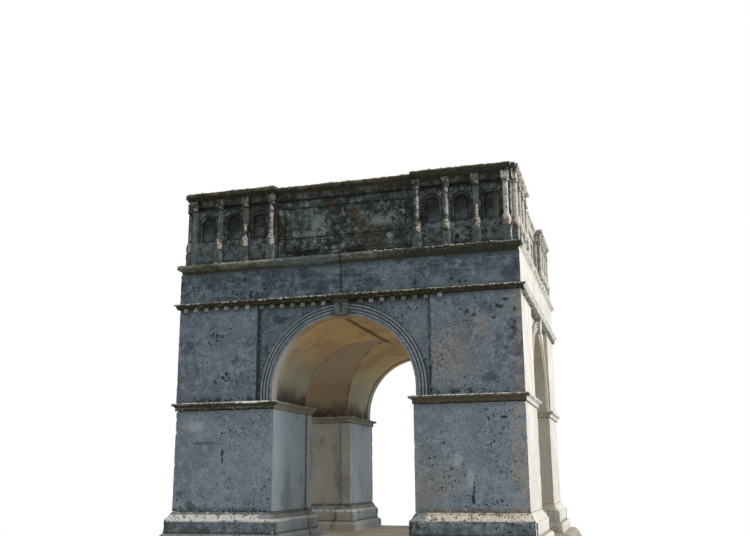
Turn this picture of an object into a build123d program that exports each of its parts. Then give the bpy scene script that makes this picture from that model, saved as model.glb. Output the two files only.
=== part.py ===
"""Stone scale model of a four-way triumphal arch, standing on a rough-hewn block.

Millimetres, +Z up. The front looks towards -Y and +X is to its right.
The origin is the middle of the underside of the stand.
"""
from build123d import *
import os
from math import atan, cos, degrees, pi, sin

os.makedirs("parts", exist_ok=True)

# Stand: a rough-hewn block a little larger than the model's footprint
STAND_HEIGHT = 300.0
STAND_MARGIN_X = 85.0
STAND_MARGIN_Y = 150.0
STAND_ARRIS = 14.0

# Slanting planes that its sides were hewn to: which side, in degrees round from
# the front; where the plane crosses that side, along it and up; and how much
# the plane turns in plan and leans back there
STAND_HEWN = (
    (0, -260, 150, -5.0, 0), (0, 420, 150, 7.0, 0), (0, -80, 190, 1.5, 9),
    (0, -700, 255, -9.0, 38), (0, 250, 270, 3.0, 47), (0, 640, 235, 8.0, 24),
    (90, -330, 150, -6.0, 0), (90, 380, 150, 4.5, 0), (90, 120, 175, -1.5, 8),
    (90, -180, 272, 1.8, 42), (90, 700, 250, 8.0, 30),
    (180, -420, 150, -6.5, 0), (180, 300, 150, 5.5, 0), (180, 60, 180, 1.0, 11),
    (180, 560, 262, 7.0, 40), (180, -180, 274, -4.0, 50),
    (270, -250, 150, -4.5, 0), (270, 450, 150, 7.5, 0), (270, -60, 165, -1.0, 7),
    (270, 260, 268, 3.0, 44), (270, -640, 245, -8.0, 27),
)

# Plan of the piers
HALF_WIDTH = 725.0
PIER_WIDTH = 431.5
PILASTER_WIDTH = 50.0
PILASTER_PROUD = 10.0

# Plinth: a rounded lower step, an upright die and a weathered slope
STEP_HEIGHT = 46.7
STEP_PROUD = 15.7
DIE_HEIGHT = 52.0
DIE_PROUD = 24.4
SLOPE_HEIGHT = 31.7

# Pier shaft and impost
SHAFT_HEIGHT = 401.9
IMPOST_BED = 11.0
IMPOST_BED_PROUD = 6.0
IMPOST_HOLLOW = 10.0
IMPOST_FACE = 12.1
IMPOST_PROUD = 20.0

# Arch: slightly stilted, with a moulded archivolt round it
ARCH_SETBACK = 8.5
ARCH_STILT = 33.0
CROWN_HEIGHT = 62.0
ARCHIVOLT_WIDTH = 47.0
ARCHIVOLT_PROUD = 6.0
FILLET_COUNT = 3
FILLET_WIDTH = 7.0
FILLET_GAP = 6.0
FILLET_PROUD = 5.0
SPANDREL_MARGIN = 19.0
RECESS_DEPTH = 18.0
RING_DEPTH = 50.0
VAULT_STEP = 4.0
UPPER_PIER_PROUD = 2.5

# Keystone: a tapered console with a groove down its face and a cap
KEY_TOP_WIDTH = 62.0
KEY_FOOT_WIDTH = 50.0
KEY_DROP = 5.0
KEY_PROUD = 25.5
KEY_GROOVE_WIDTH = 9.0
KEY_GROOVE_DEPTH = 6.0
KEY_CAP_HEIGHT = 9.0
KEY_CAP_LIP = 4.0
KEY_TOE_RADIUS = 14.0

# Dentil cornice
DENTIL_WIDTH = 17.0
DENTIL_HEIGHT = 15.5
DENTIL_DEPTH = 12.0
PIER_DENTIL_PITCH = 47.3
PIER_DENTIL_END = 32.5
PANEL_DENTIL_PITCH = 45.5
PANEL_DENTIL_END = 16.0
DENTIL_BED = 6.0
DENTIL_BED_PROUD = 13.0
DENTIL_HOLLOW = 9.0
DENTIL_FACE = 7.8
DENTIL_PROUD = 22.0

# Frieze and main cornice
FRIEZE_PROUD = 4.0
FRIEZE_HEIGHT = 130.2
MAIN_BED = 5.0
MAIN_HOLLOW = 15.0
MAIN_FACE = 22.0
MAIN_PROUD = 18.0

# Attic: corner bays with arched niches between colonnettes, and a plain centre
ATTIC_SETBACK = 25.0
ATTIC_HEIGHT = 259.5
BAY_WIDTH = 404.0
CENTRE_SETBACK = 16.0
NICHE_SILL = 106.0
NICHE_WIDTH = 58.0
NICHE_RISE = 111.0
NICHE_DEPTH = 14.0
NICHE_FRAME = 11.0
NICHE_FRAME_DEPTH = 4.0
PANEL_BORDER = 30.0
PANEL_DEPTH = 6.0

# Colonnettes: pedestal, bulbous base, slender shaft, ring and block
COLONNETTES_PER_BAY = 4
COLONNETTE_END = 20.0
PEDESTAL_WIDTH = 36.0
PEDESTAL_HEIGHT = 64.0
PEDESTAL_PROUD = 24.0
BULB_HEIGHT = 46.0
BULB_RADIUS = 18.0
BULB_NECK = 12.5
SHAFT_RADIUS = 11.0
SHAFT_GAP = 2.0
RING_HEIGHT = 12.0
RING_RADIUS = 16.0
BLOCK_WIDTH = 32.0

# Attic architrave and cornice, which break forward over the bays
ARCHITRAVE_HEIGHT = 32.5
ARCHITRAVE_PROUD = 10.0
CENTRE_BAND_PROUD = 6.0
TOP_HOLLOW = 14.0
TOP_FACE = 20.0
TOP_PROUD = 14.0
BREAK_PROUD = 12.0
BREAK_INSET = 7.5

# Damage on the front: how much is left of the shafts that broke, from the
# corner bay's outermost colonnette inwards, whose bulb and pedestal are gone
# as well; the scar that a lost shaft leaves on the wall; and how many dentils
# still hang on the right-hand pier, counted from the arch
WHOLE = 1.0
GONE = -1.0
FRONT_LEFT_SHAFTS = (GONE, 0.0, 0.42, WHOLE)
FRONT_RIGHT_SHAFTS = (WHOLE, 0.38, WHOLE, WHOLE)
SCAR_WIDTH = 26.0
SCAR_DEPTH = 4.0
RIGHT_PIER_DENTILS_LEFT = 1

# Curves are drawn as short chords, so many to a half circle or a quarter
# moulding, and the small turned parts have flat sides: this keeps the model light
ARCH_CHORDS = 24
NICHE_CHORDS = 8
MOULDING_CHORDS = 3
TURNED_SIDES = 8
HALF_SIDE = 180 / TURNED_SIDES

# Planes and levels that follow from the sizes above
PIER_INNER = HALF_WIDTH - PIER_WIDTH
PILASTER_INNER = PIER_INNER - PILASTER_PROUD
PILASTER_OUTER = PILASTER_INNER + PILASTER_WIDTH
ARCH_RADIUS = PIER_INNER + ARCH_SETBACK
VAULT_RADIUS = ARCH_RADIUS + VAULT_STEP
ARCHIVOLT_RADIUS = ARCH_RADIUS + ARCHIVOLT_WIDTH
PANEL_HALF = ARCHIVOLT_RADIUS + SPANDREL_MARGIN
UPPER_PLANE = HALF_WIDTH + UPPER_PIER_PROUD
PANEL_PLANE = UPPER_PLANE - RECESS_DEPTH
RING_BACK = PANEL_PLANE - RING_DEPTH
FRIEZE_PLANE = HALF_WIDTH + FRIEZE_PROUD
BAY_PLANE = FRIEZE_PLANE - ATTIC_SETBACK
BAY_INNER = BAY_PLANE - BAY_WIDTH
CENTRE_PLANE = BAY_PLANE - CENTRE_SETBACK

Z_SLAB = STAND_HEIGHT
Z_SHAFT = Z_SLAB + STEP_HEIGHT + DIE_HEIGHT + SLOPE_HEIGHT
Z_IMPOST = Z_SHAFT + SHAFT_HEIGHT
Z_UPPER = Z_IMPOST + IMPOST_BED + IMPOST_HOLLOW + IMPOST_FACE
Z_SPRING = Z_UPPER + ARCH_STILT
Z_DENTIL = Z_SPRING + ARCH_RADIUS + CROWN_HEIGHT
Z_FRIEZE = Z_DENTIL + DENTIL_BED + DENTIL_HOLLOW + DENTIL_FACE
Z_MAIN = Z_FRIEZE + FRIEZE_HEIGHT
Z_ATTIC = Z_MAIN + MAIN_BED + MAIN_HOLLOW + MAIN_FACE
Z_ARCHITRAVE = Z_ATTIC + ATTIC_HEIGHT
Z_TOP_CORNICE = Z_ARCHITRAVE + ARCHITRAVE_HEIGHT

# Longer than the model in any direction, for cuts that go right through
REACH = 4.0 * HALF_WIDTH

# A corner piece is drawn in the +X +Y quarter and turned to its place;
# a face piece is drawn on the front and turned to its side
CORNER_TURNS = {"back_right": 0, "back_left": 90, "front_left": 180, "front_right": 270}
FACE_TURNS = {"front": 0, "right": 90, "back": 180, "left": 270}
ALL_SIDES = ("left", "right", "front", "back")


def turned(shape, angle):
    return Rot(0, 0, angle) * shape


def block(x_span, y_span, z_span):
    """A plain block between three pairs of planes."""
    spans = (x_span, y_span, z_span)
    size = [high - low for low, high in spans]
    middle = [(high + low) / 2 for low, high in spans]
    return Pos(*middle) * Box(*size)


def arc_points(centre, x_reach, z_reach, sweep, chords):
    """Points at even angles round a centre, from level with it up through the sweep."""
    angles = [sweep * number / chords for number in range(chords + 1)]
    return [(centre[0] + x_reach * cos(angle), centre[1] + z_reach * sin(angle))
            for angle in angles]


def quarter_round(centre, x_reach, z_reach):
    """Quarter curve of a moulding, from level with its centre to right above it."""
    points = arc_points(centre, x_reach, z_reach, pi / 2, MOULDING_CHORDS)
    return [Line(low, high) for low, high in zip(points, points[1:])]


def hollow(start, end):
    """Concave quarter curve that rises from start and leans out to end."""
    return quarter_round((end[0], start[1]), start[0] - end[0], end[1] - start[1])


def course_section(low, high, rise, low_moulded, high_moulded):
    """Upright section of a course between two wall planes, with its profile on each moulded side."""
    z_foot, z_top = (rise[0] @ 0).Y, (rise[-1] @ 1).Y
    plain = [Line((0, z_foot), (0, z_top))]
    high_side = [Pos(high, 0) * edge for edge in (rise if high_moulded else plain)]
    low_rise = rise if low_moulded else plain
    low_side = [Pos(low, 0) * mirror(edge, Plane.YZ) for edge in low_rise]
    foot = Line(low_side[0] @ 0, high_side[0] @ 0)
    head = Line(low_side[-1] @ 1, high_side[-1] @ 1)
    return make_face(high_side + low_side + [foot, head])


def moulded_block(x_span, y_span, rise, sides=ALL_SIDES):
    """A block whose named sides carry the profile, mitred where two of them meet."""
    across = course_section(*x_span, rise, "left" in sides, "right" in sides)
    along = course_section(*y_span, rise, "front" in sides, "back" in sides)
    return (extrude(Plane.XZ * across, REACH, both=True)
            & extrude(Plane.YZ * along, REACH, both=True))


def upright_slab(face, y_front, y_back):
    """A face drawn in X and Z, made solid between two planes that look to the front."""
    return Pos(0, y_back, 0) * extrude(Plane.XZ * face, y_back - y_front)


def stilted_arch(radius, z_foot, z_spring, chords=ARCH_CHORDS):
    """Outline of an opening: upright to the springing, then a half circle."""
    head = arc_points((0, z_spring), radius, radius, pi, chords)
    return make_face(Polyline((-radius, z_foot), (radius, z_foot), *head, close=True))


def rectangle(x_span, z_span):
    (x0, x1), (z0, z1) = x_span, z_span
    return make_face(Polyline((x0, z0), (x1, z0), (x1, z1), (x0, z1), close=True))


# Profiles, drawn from the foot up, with the projection from the wall as X

def plinth_rise():
    z_die = Z_SLAB + STEP_HEIGHT
    z_slope = z_die + DIE_HEIGHT
    z_round = z_die - STEP_PROUD
    outer = DIE_PROUD + STEP_PROUD
    return [
        Line((outer, Z_SLAB), (outer, z_round)),
        *quarter_round((DIE_PROUD, z_round), STEP_PROUD, STEP_PROUD),
        Line((DIE_PROUD, z_die), (DIE_PROUD, z_slope)),
        Line((DIE_PROUD, z_slope), (0, Z_SHAFT)),
    ]


def impost_rise():
    z_hollow = Z_IMPOST + IMPOST_BED
    z_face = z_hollow + IMPOST_HOLLOW
    return [
        Line((IMPOST_BED_PROUD, Z_IMPOST), (IMPOST_BED_PROUD, z_hollow)),
        *hollow((IMPOST_BED_PROUD, z_hollow), (IMPOST_PROUD, z_face)),
        Line((IMPOST_PROUD, z_face), (IMPOST_PROUD, Z_UPPER)),
    ]


def dentil_cornice_rise():
    z_hollow = Z_DENTIL + DENTIL_BED
    z_face = z_hollow + DENTIL_HOLLOW
    return [
        Line((DENTIL_BED_PROUD, Z_DENTIL), (DENTIL_BED_PROUD, z_hollow)),
        *hollow((DENTIL_BED_PROUD, z_hollow), (DENTIL_PROUD, z_face)),
        Line((DENTIL_PROUD, z_face), (DENTIL_PROUD, Z_FRIEZE)),
    ]


def main_cornice_rise():
    z_hollow = Z_MAIN + MAIN_BED
    z_face = z_hollow + MAIN_HOLLOW
    return [
        Line((0, Z_MAIN), (0, z_hollow)),
        *hollow((0, z_hollow), (MAIN_PROUD, z_face)),
        Line((MAIN_PROUD, z_face), (MAIN_PROUD, Z_ATTIC)),
    ]


def top_cornice_rise():
    z_face = Z_TOP_CORNICE + TOP_HOLLOW
    return [
        *hollow((0, Z_TOP_CORNICE), (TOP_PROUD, z_face)),
        Line((TOP_PROUD, z_face), (TOP_PROUD, z_face + TOP_FACE)),
    ]


# Pieces

def hewn_off(half_depth, side, along, height, turn, lean):
    """What lay beyond a slanting plane on one side of the stand."""
    beyond = Pos(0, -REACH, 0) * Box(2 * REACH, 2 * REACH, 2 * REACH)
    slanted = Rot(0, 0, turn) * Rot(-lean, 0, 0) * beyond
    return turned(Pos(along, -half_depth, height) * slanted, side)


def stand_block():
    """Rough block: its corners are struck off and its sides hewn to slanting planes."""
    half_x = HALF_WIDTH + DIE_PROUD + STEP_PROUD + STAND_MARGIN_X
    half_y = HALF_WIDTH + DIE_PROUD + STEP_PROUD + STAND_MARGIN_Y
    struck = {(1, -1): (60, 95), (1, 1): (140, 210), (-1, 1): (75, 60), (-1, -1): (110, 70)}
    outline = []
    for (side_x, side_y), (along_x, along_y) in struck.items():
        on_front_or_back = (side_x * (half_x - along_x), side_y * half_y)
        on_side = (side_x * half_x, side_y * (half_y - along_y))
        turn = [on_front_or_back, on_side]
        outline += turn if side_x != side_y else turn[::-1]
    body = extrude(make_face(Polyline(*outline, close=True)), STAND_HEIGHT)
    body = chamfer(body.faces().sort_by(Axis.Z)[-1].edges(), STAND_ARRIS)
    for side, *plane in STAND_HEWN:
        body -= hewn_off(half_y if side in (0, 180) else half_x, side, *plane)
    return body


def pier_course(rise):
    """One course of a pier, with the slim pilaster on its inner corner."""
    pier = (PIER_INNER, HALF_WIDTH)
    pilaster = (PILASTER_INNER, PILASTER_OUTER)
    return moulded_block(pier, pier, rise) + moulded_block(pilaster, pilaster, rise)


def upper_pier():
    span = (PANEL_HALF, UPPER_PLANE)
    return block(span, span, (Z_UPPER, Z_DENTIL))


def keystone_outline():
    z_foot = Z_SPRING + ARCH_RADIUS - KEY_DROP
    top, foot = KEY_TOP_WIDTH / 2, KEY_FOOT_WIDTH / 2
    return make_face(Polyline((-foot, z_foot), (foot, z_foot), (top, Z_DENTIL),
                              (-top, Z_DENTIL), close=True))


def arch_panel():
    """Set-back spandrels with the arch cut through them and the archivolt standing proud."""
    z_below = Z_UPPER - CROWN_HEIGHT
    panel = rectangle((-PANEL_HALF, PANEL_HALF), (Z_UPPER, Z_DENTIL))
    opening = stilted_arch(ARCH_RADIUS, z_below, Z_SPRING)
    body = upright_slab(panel - opening, -PANEL_PLANE, -RING_BACK)
    y_band = -PANEL_PLANE - ARCHIVOLT_PROUD
    band = stilted_arch(ARCHIVOLT_RADIUS, Z_UPPER, Z_SPRING) - opening
    body += upright_slab(band, y_band, -PANEL_PLANE)
    for number in range(FILLET_COUNT):
        outer = ARCHIVOLT_RADIUS - number * (FILLET_WIDTH + FILLET_GAP)
        fillet_ring = (stilted_arch(outer, Z_UPPER, Z_SPRING)
                       - stilted_arch(outer - FILLET_WIDTH, z_below, Z_SPRING))
        body += upright_slab(fillet_ring, y_band - FILLET_PROUD, y_band)
    return body - upright_slab(keystone_outline(), -UPPER_PLANE - KEY_PROUD, 0)


def keystone():
    y_face = -PANEL_PLANE - KEY_PROUD
    outline = keystone_outline()
    body = upright_slab(outline, y_face, -RING_BACK)
    toe = body.edges().filter_by(Axis.X).sort_by(Axis.Z)[:2].sort_by(Axis.Y)[0]
    body = fillet(toe, KEY_TOE_RADIUS)
    groove = rectangle((-KEY_GROOVE_WIDTH / 2, KEY_GROOVE_WIDTH / 2),
                       (Z_SPRING + ARCH_RADIUS + KEY_TOE_RADIUS, Z_DENTIL - KEY_CAP_HEIGHT))
    body -= upright_slab(groove, y_face - KEY_GROOVE_DEPTH, y_face + KEY_GROOVE_DEPTH)
    cap_half = KEY_TOP_WIDTH / 2 + KEY_CAP_LIP
    y_cap = y_face - KEY_CAP_LIP
    cap = block((-cap_half, cap_half), (y_cap, -PANEL_PLANE - ARCHIVOLT_PROUD - FILLET_PROUD),
                (Z_DENTIL - KEY_CAP_HEIGHT, Z_DENTIL))
    return body + cap


def groin_vault():
    """Two equal barrels that cross, hollowed out of the mass between the upper piers."""
    arm, half = (-RING_BACK, RING_BACK), (-PANEL_HALF, PANEL_HALF)
    z_span = (Z_UPPER, Z_DENTIL)
    mass = block(arm, half, z_span) + block(half, arm, z_span)
    tunnel = stilted_arch(VAULT_RADIUS, Z_UPPER - CROWN_HEIGHT, Z_SPRING)
    mass -= extrude(Plane.XZ * tunnel, REACH, both=True)
    return mass - extrude(Plane.YZ * tunnel, REACH, both=True)


def row_from(first, pitch, last):
    """Places at an even pitch from first down to no less than last."""
    count = int((first - last) / pitch) + 1
    return [first - number * pitch for number in range(count)]


def dentil(x, wall_plane):
    half = DENTIL_WIDTH / 2
    return block((x - half, x + half), (-wall_plane - DENTIL_DEPTH, -wall_plane),
                 (Z_DENTIL - DENTIL_HEIGHT, Z_DENTIL))


def face_dentils(pier_dentils_left=None):
    """Dentils of one half face: along the upper pier, then over the set-back panel."""
    pier_row = row_from(UPPER_PLANE - PIER_DENTIL_END, PIER_DENTIL_PITCH,
                        PANEL_HALF + DENTIL_WIDTH)
    if pier_dentils_left is not None:
        pier_row = pier_row[len(pier_row) - pier_dentils_left:]
    panel_row = row_from(PANEL_HALF - PANEL_DENTIL_END, PANEL_DENTIL_PITCH,
                         KEY_TOP_WIDTH / 2 + KEY_CAP_LIP + DENTIL_WIDTH)
    return ([dentil(x, UPPER_PLANE) for x in pier_row]
            + [dentil(x, PANEL_PLANE) for x in panel_row])


def half_course(side, plane, rise):
    """Left or right half of a course that spans the whole model, met on the middle line."""
    x_span = (0, plane) if side == "right" else (-plane, 0)
    return moulded_block(x_span, (-plane, plane), rise, (side, "front", "back"))


def dentil_cornice(side):
    course = half_course(side, FRIEZE_PLANE, dentil_cornice_rise())
    whole = face_dentils()
    reverse = [mirror(solid, Plane.YZ) for solid in whole]
    flank = [turned(solid, FACE_TURNS[side]) for solid in whole + reverse]
    if side == "right":
        front, back = face_dentils(RIGHT_PIER_DENTILS_LEFT), reverse
    else:
        front, back = reverse, whole
    back = [turned(solid, FACE_TURNS["back"]) for solid in back]
    return course + flank + front + back


def attic_outline(out_bay, out_centre, step_in):
    """Plan of a quarter of the attic: the corner bay stands in front of the centre."""
    bay, centre, step = BAY_PLANE + out_bay, CENTRE_PLANE + out_centre, BAY_INNER - step_in
    return make_face(Polyline(
        (0, 0), (centre, 0), (centre, step), (bay, step), (bay, bay),
        (step, bay), (step, centre), (0, centre), close=True))


def colonnette_places():
    first = BAY_PLANE - COLONNETTE_END
    last = BAY_INNER + COLONNETTE_END
    pitch = (first - last) / (COLONNETTES_PER_BAY - 1)
    return [first - number * pitch for number in range(COLONNETTES_PER_BAY)]


def on_both_outer_faces(front_pieces):
    """Pieces drawn on the front at +X, repeated on the two outer faces of the +X +Y corner."""
    on_back = [mirror(piece, Plane.XZ) for piece in front_pieces]
    on_right = [turned(piece, FACE_TURNS["right"]) for piece in front_pieces]
    return on_back, on_right


def attic_corner():
    """Quarter of the attic: three framed niches on each outer face, and half a sunk panel."""
    body = Pos(0, 0, Z_ATTIC) * extrude(attic_outline(0, 0, 0), ATTIC_HEIGHT)
    z_sill = Z_ATTIC + NICHE_SILL
    z_spring = z_sill + NICHE_RISE - NICHE_WIDTH / 2
    places = colonnette_places()
    cuts = []
    for left, right in zip(places[1:], places):
        middle = (left + right) / 2
        niche = stilted_arch(NICHE_WIDTH / 2, z_sill, z_spring, NICHE_CHORDS)
        frame = stilted_arch(NICHE_WIDTH / 2 + NICHE_FRAME, z_sill, z_spring, NICHE_CHORDS)
        cuts.append(Pos(middle, 0, 0) * upright_slab(niche, -FRIEZE_PLANE, -BAY_PLANE + NICHE_DEPTH))
        cuts.append(Pos(middle, 0, 0)
                    * upright_slab(frame, -FRIEZE_PLANE, -BAY_PLANE + NICHE_FRAME_DEPTH))
    panel = rectangle((-REACH, BAY_INNER - PANEL_BORDER),
                      (Z_ATTIC + PANEL_BORDER, Z_ARCHITRAVE - PANEL_BORDER))
    cuts.append(upright_slab(panel, -BAY_PLANE, -CENTRE_PLANE + PANEL_DEPTH))
    for group in on_both_outer_faces(cuts):
        for cut in group:
            body -= cut
    return body


def drum(radius, z_foot, rise, taper=0):
    """Upright drum with flat sides."""
    return extrude(Pos(0, 0, z_foot) * RegularPolygon(radius, TURNED_SIDES, rotation=HALF_SIDE),
                   rise, taper=taper)


def bulb(z_foot):
    """Two drums that taper from the belly, one to each neck."""
    half_rise = BULB_HEIGHT / 2
    narrowing = (BULB_RADIUS - BULB_NECK) * cos(pi / TURNED_SIDES)
    upper = drum(BULB_RADIUS, z_foot + half_rise, half_rise, degrees(atan(narrowing / half_rise)))
    return upper + mirror(upper, Plane.XY.offset(z_foot + half_rise))


def colonnette(x, left_of_shaft):
    """Pedestal, bulb, shaft, ring and block, with a flat back against the wall."""
    axis = Pos(x, -BAY_PLANE - SHAFT_GAP - SHAFT_RADIUS, 0)
    half = PEDESTAL_WIDTH / 2
    z_bulb = Z_ATTIC + PEDESTAL_HEIGHT
    z_shaft = z_bulb + BULB_HEIGHT
    z_ring = Z_ARCHITRAVE - RING_HEIGHT
    y_face = -BAY_PLANE - PEDESTAL_PROUD
    cap_half = BLOCK_WIDTH / 2
    body = axis * drum(RING_RADIUS, z_ring, RING_HEIGHT)
    body += block((x - cap_half, x + cap_half), (y_face, -BAY_PLANE - ARCHITRAVE_PROUD),
                  (Z_ARCHITRAVE, Z_TOP_CORNICE))
    z_left = Z_ATTIC
    if left_of_shaft != GONE:
        body += block((x - half, x + half), (y_face, -BAY_PLANE), (Z_ATTIC, z_bulb))
        body += axis * bulb(z_bulb)
        z_left = z_shaft + (z_ring - z_shaft) * left_of_shaft
    if z_left > z_shaft:
        body += axis * drum(SHAFT_RADIUS, z_shaft, z_left - z_shaft)
    if z_left < z_ring:
        scar_half = SCAR_WIDTH / 2
        body += block((x - scar_half, x + scar_half), (-BAY_PLANE - SCAR_DEPTH, -BAY_PLANE),
                      (z_left, z_ring))
    return body & block((-REACH, REACH), (-REACH, -BAY_PLANE), (0, REACH))


def bay_colonnettes(corner):
    """The colonnettes of a corner's two bays, in the +X +Y quarter."""
    whole = (WHOLE,) * COLONNETTES_PER_BAY
    on_right_face, on_back_face = whole, whole
    if corner == "front_left":
        on_back_face = FRONT_LEFT_SHAFTS
    if corner == "front_right":
        on_right_face = FRONT_RIGHT_SHAFTS
    solids = []
    for x, back_left, right_left in zip(colonnette_places(), on_back_face, on_right_face):
        solids += on_both_outer_faces([colonnette(x, back_left)])[0]
        solids += on_both_outer_faces([colonnette(x, right_left)])[1]
    return solids


def attic_cornice():
    """Quarter of the architrave and top cornice, broken forward over the bays."""
    band = extrude(attic_outline(ARCHITRAVE_PROUD, CENTRE_BAND_PROUD, 0), ARCHITRAVE_HEIGHT)
    rise = top_cornice_rise()
    centre = (0, CENTRE_PLANE + CENTRE_BAND_PROUD)
    bay = (BAY_INNER + BREAK_INSET, BAY_PLANE - BREAK_INSET)
    corner = (bay[0], BAY_PLANE + ARCHITRAVE_PROUD)
    forward = (bay[0], corner[1] + BREAK_PROUD)
    body = Pos(0, 0, Z_ARCHITRAVE) * band
    body += moulded_block(centre, centre, rise, ("right", "back"))
    body += moulded_block(corner, corner, rise)
    body += moulded_block(bay, forward, rise, ("left", "right", "back"))
    body += moulded_block(forward, bay, rise, ("front", "right", "back"))
    return body


def write(name, shape):
    solids = shape if isinstance(shape, list) else [shape]
    export_step(Compound(children=[s for group in solids for s in group.solids()]),
                f"parts/{name}.step")


write("stand_block", stand_block())
for corner_name, angle in CORNER_TURNS.items():
    shaft_rise = [Line((0, Z_SHAFT), (0, Z_IMPOST))]
    write(f"plinth_{corner_name}", turned(pier_course(plinth_rise()), angle))
    write(f"pier_{corner_name}", turned(pier_course(shaft_rise), angle))
    write(f"impost_{corner_name}", turned(pier_course(impost_rise()), angle))
    write(f"upper_pier_{corner_name}", turned(upper_pier(), angle))
    write(f"attic_{corner_name}", turned(attic_corner(), angle))
    write(f"colonnettes_{corner_name}",
          [turned(solid, angle) for solid in bay_colonnettes(corner_name)])
    write(f"attic_cornice_{corner_name}", turned(attic_cornice(), angle))
for face_name, angle in FACE_TURNS.items():
    write(f"arch_{face_name}", turned(arch_panel(), angle))
    write(f"keystone_{face_name}", turned(keystone(), angle))
write("groin_vault", groin_vault())
for side_name in ("left", "right"):
    write(f"dentil_cornice_{side_name}", dentil_cornice(side_name))
    write(f"frieze_{side_name}",
          half_course(side_name, FRIEZE_PLANE, [Line((0, Z_FRIEZE), (0, Z_MAIN))]))
    write(f"main_cornice_{side_name}", half_course(side_name, FRIEZE_PLANE, main_cornice_rise()))
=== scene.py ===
"""Weathered stone model of a four-way triumphal arch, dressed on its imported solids.

Metres, +Z up, the front looks towards -Y. Each course keeps the outline of its solid: a copy
of the solid's mesh is cut into small faces, one Geometry Nodes tree chips its arrises and
wears its faces, and procedural materials on object coordinates give it its stone.
"""
from functools import reduce
from itertools import groupby
from math import atan2, ceil, cos, hypot, pi, radians, sin

import bmesh
import bpy
from mathutils import Matrix, Vector


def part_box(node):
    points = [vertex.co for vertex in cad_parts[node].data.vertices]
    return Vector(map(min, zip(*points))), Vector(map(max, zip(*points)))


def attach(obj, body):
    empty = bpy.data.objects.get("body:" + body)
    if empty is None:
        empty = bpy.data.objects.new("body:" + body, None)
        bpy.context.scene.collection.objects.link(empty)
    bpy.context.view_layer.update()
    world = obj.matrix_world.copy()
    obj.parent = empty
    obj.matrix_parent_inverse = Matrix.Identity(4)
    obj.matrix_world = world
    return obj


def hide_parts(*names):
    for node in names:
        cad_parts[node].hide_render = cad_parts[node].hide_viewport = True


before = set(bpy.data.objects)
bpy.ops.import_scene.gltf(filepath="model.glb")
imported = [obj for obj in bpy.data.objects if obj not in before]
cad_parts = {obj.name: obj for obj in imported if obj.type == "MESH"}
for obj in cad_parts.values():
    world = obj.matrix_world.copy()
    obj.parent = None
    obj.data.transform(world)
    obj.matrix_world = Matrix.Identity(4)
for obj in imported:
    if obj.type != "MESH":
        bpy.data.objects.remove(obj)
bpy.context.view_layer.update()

# Levels and planes of the model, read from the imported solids
LOW, HIGH = 0, 1
pier_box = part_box("pier_front_right")
arch_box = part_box("arch_front")
frieze_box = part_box("frieze_right")
attic_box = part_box("attic_back_right")
Z_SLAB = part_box("stand_block")[HIGH].z
Z_SHAFT = pier_box[LOW].z
Z_IMPOST = pier_box[HIGH].z
Z_UPPER = arch_box[LOW].z
Z_DENTIL = arch_box[HIGH].z
Z_FRIEZE = frieze_box[LOW].z
Z_MAIN = frieze_box[HIGH].z
Z_ATTIC = attic_box[LOW].z
Z_ARCHITRAVE = attic_box[HIGH].z
Z_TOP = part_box("attic_cornice_back_right")[HIGH].z
PANEL_HALF = arch_box[HIGH].x
VAULT_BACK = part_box("groin_vault")[HIGH].x
BAY_PLANE = attic_box[HIGH].x

# Sizes that the solids share with this dressing
ARCH_RADIUS = 0.302
VAULT_RADIUS = 0.306
ARCHIVOLT_RADIUS = 0.349
ARCH_STILT = 0.033
CHORD_ANGLE = pi / 24
SLOPE_HEIGHT = 0.0317
DIE_HEIGHT = 0.052
TOP_CORNICE_HEIGHT = 0.034
UPPER_PLANE = 0.7275
PANEL_PLANE = 0.7095
RING_DEPTH = 0.05
Z_SPRING = Z_UPPER + ARCH_STILT
Z_CROWN = Z_SPRING + ARCH_RADIUS
Z_DIE_TOP = Z_SHAFT - SLOPE_HEIGHT
Z_DIE_FOOT = Z_DIE_TOP - DIE_HEIGHT
Z_TOP_CORNICE = Z_TOP - TOP_CORNICE_HEIGHT
RING_BACK = PANEL_PLANE - RING_DEPTH

# Colonnettes: the shaft's axis stands off the wall, and the pedestal comes further forward
COLONNETTES_PER_BAY = 4
COLONNETTE_END = 0.020
BAY_WIDTH = 0.404
SHAFT_STANDS_OFF = 0.013
PEDESTAL_SIZE = (0.036, 0.024, 0.064)
BLOCK_SIZE = (0.032, 0.018, 0.0325)
BULB_RADIUS, BULB_RISE = 0.018, 0.046
RING_RADIUS, RING_RISE = 0.016, 0.012
SHAFT_RADIUS = 0.011
SHAFT_RISE = Z_ARCHITRAVE - Z_ATTIC - PEDESTAL_SIZE[2] - BULB_RISE - RING_RISE
SHAFT_EASE = 0.004
NECK_SHARE = 0.7
SCAR_WIDTH, SCAR_PROUD, LEAST_SCAR = 0.026, 0.004, 0.001
SCAR_CUTS, BLOCK_CUTS, PEDESTAL_CUTS = 9, 6, 7
TURNED_SIDES, TURNED_ROWS = 18, 46

# How much is left of the colonnette shafts on the front, from the outermost inwards;
# where one is gone, so are its bulb and pedestal
WHOLE = 1.0
GONE = -1.0
FRONT_LEFT_SHAFTS = (GONE, 0.0, 0.42, WHOLE)
FRONT_RIGHT_SHAFTS = (WHOLE, 0.38, WHOLE, WHOLE)

# Rows of dentils on half a face: first place from the middle line, pitch, place to stop at
DENTIL_SIZE = (0.017, 0.014, 0.0162)
DENTIL_MIDDLE_OUT = 0.005
DENTIL_MIDDLE_DOWN = 0.0074
DENTIL_CUTS = 5
PIER_DENTILS = (UPPER_PLANE - 0.0325, 0.0473, PANEL_HALF + 0.017)
PANEL_DENTILS = (PANEL_HALF - 0.016, 0.0455, 0.052)
COURSE_FOOT_RAISED = 0.0004

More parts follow.
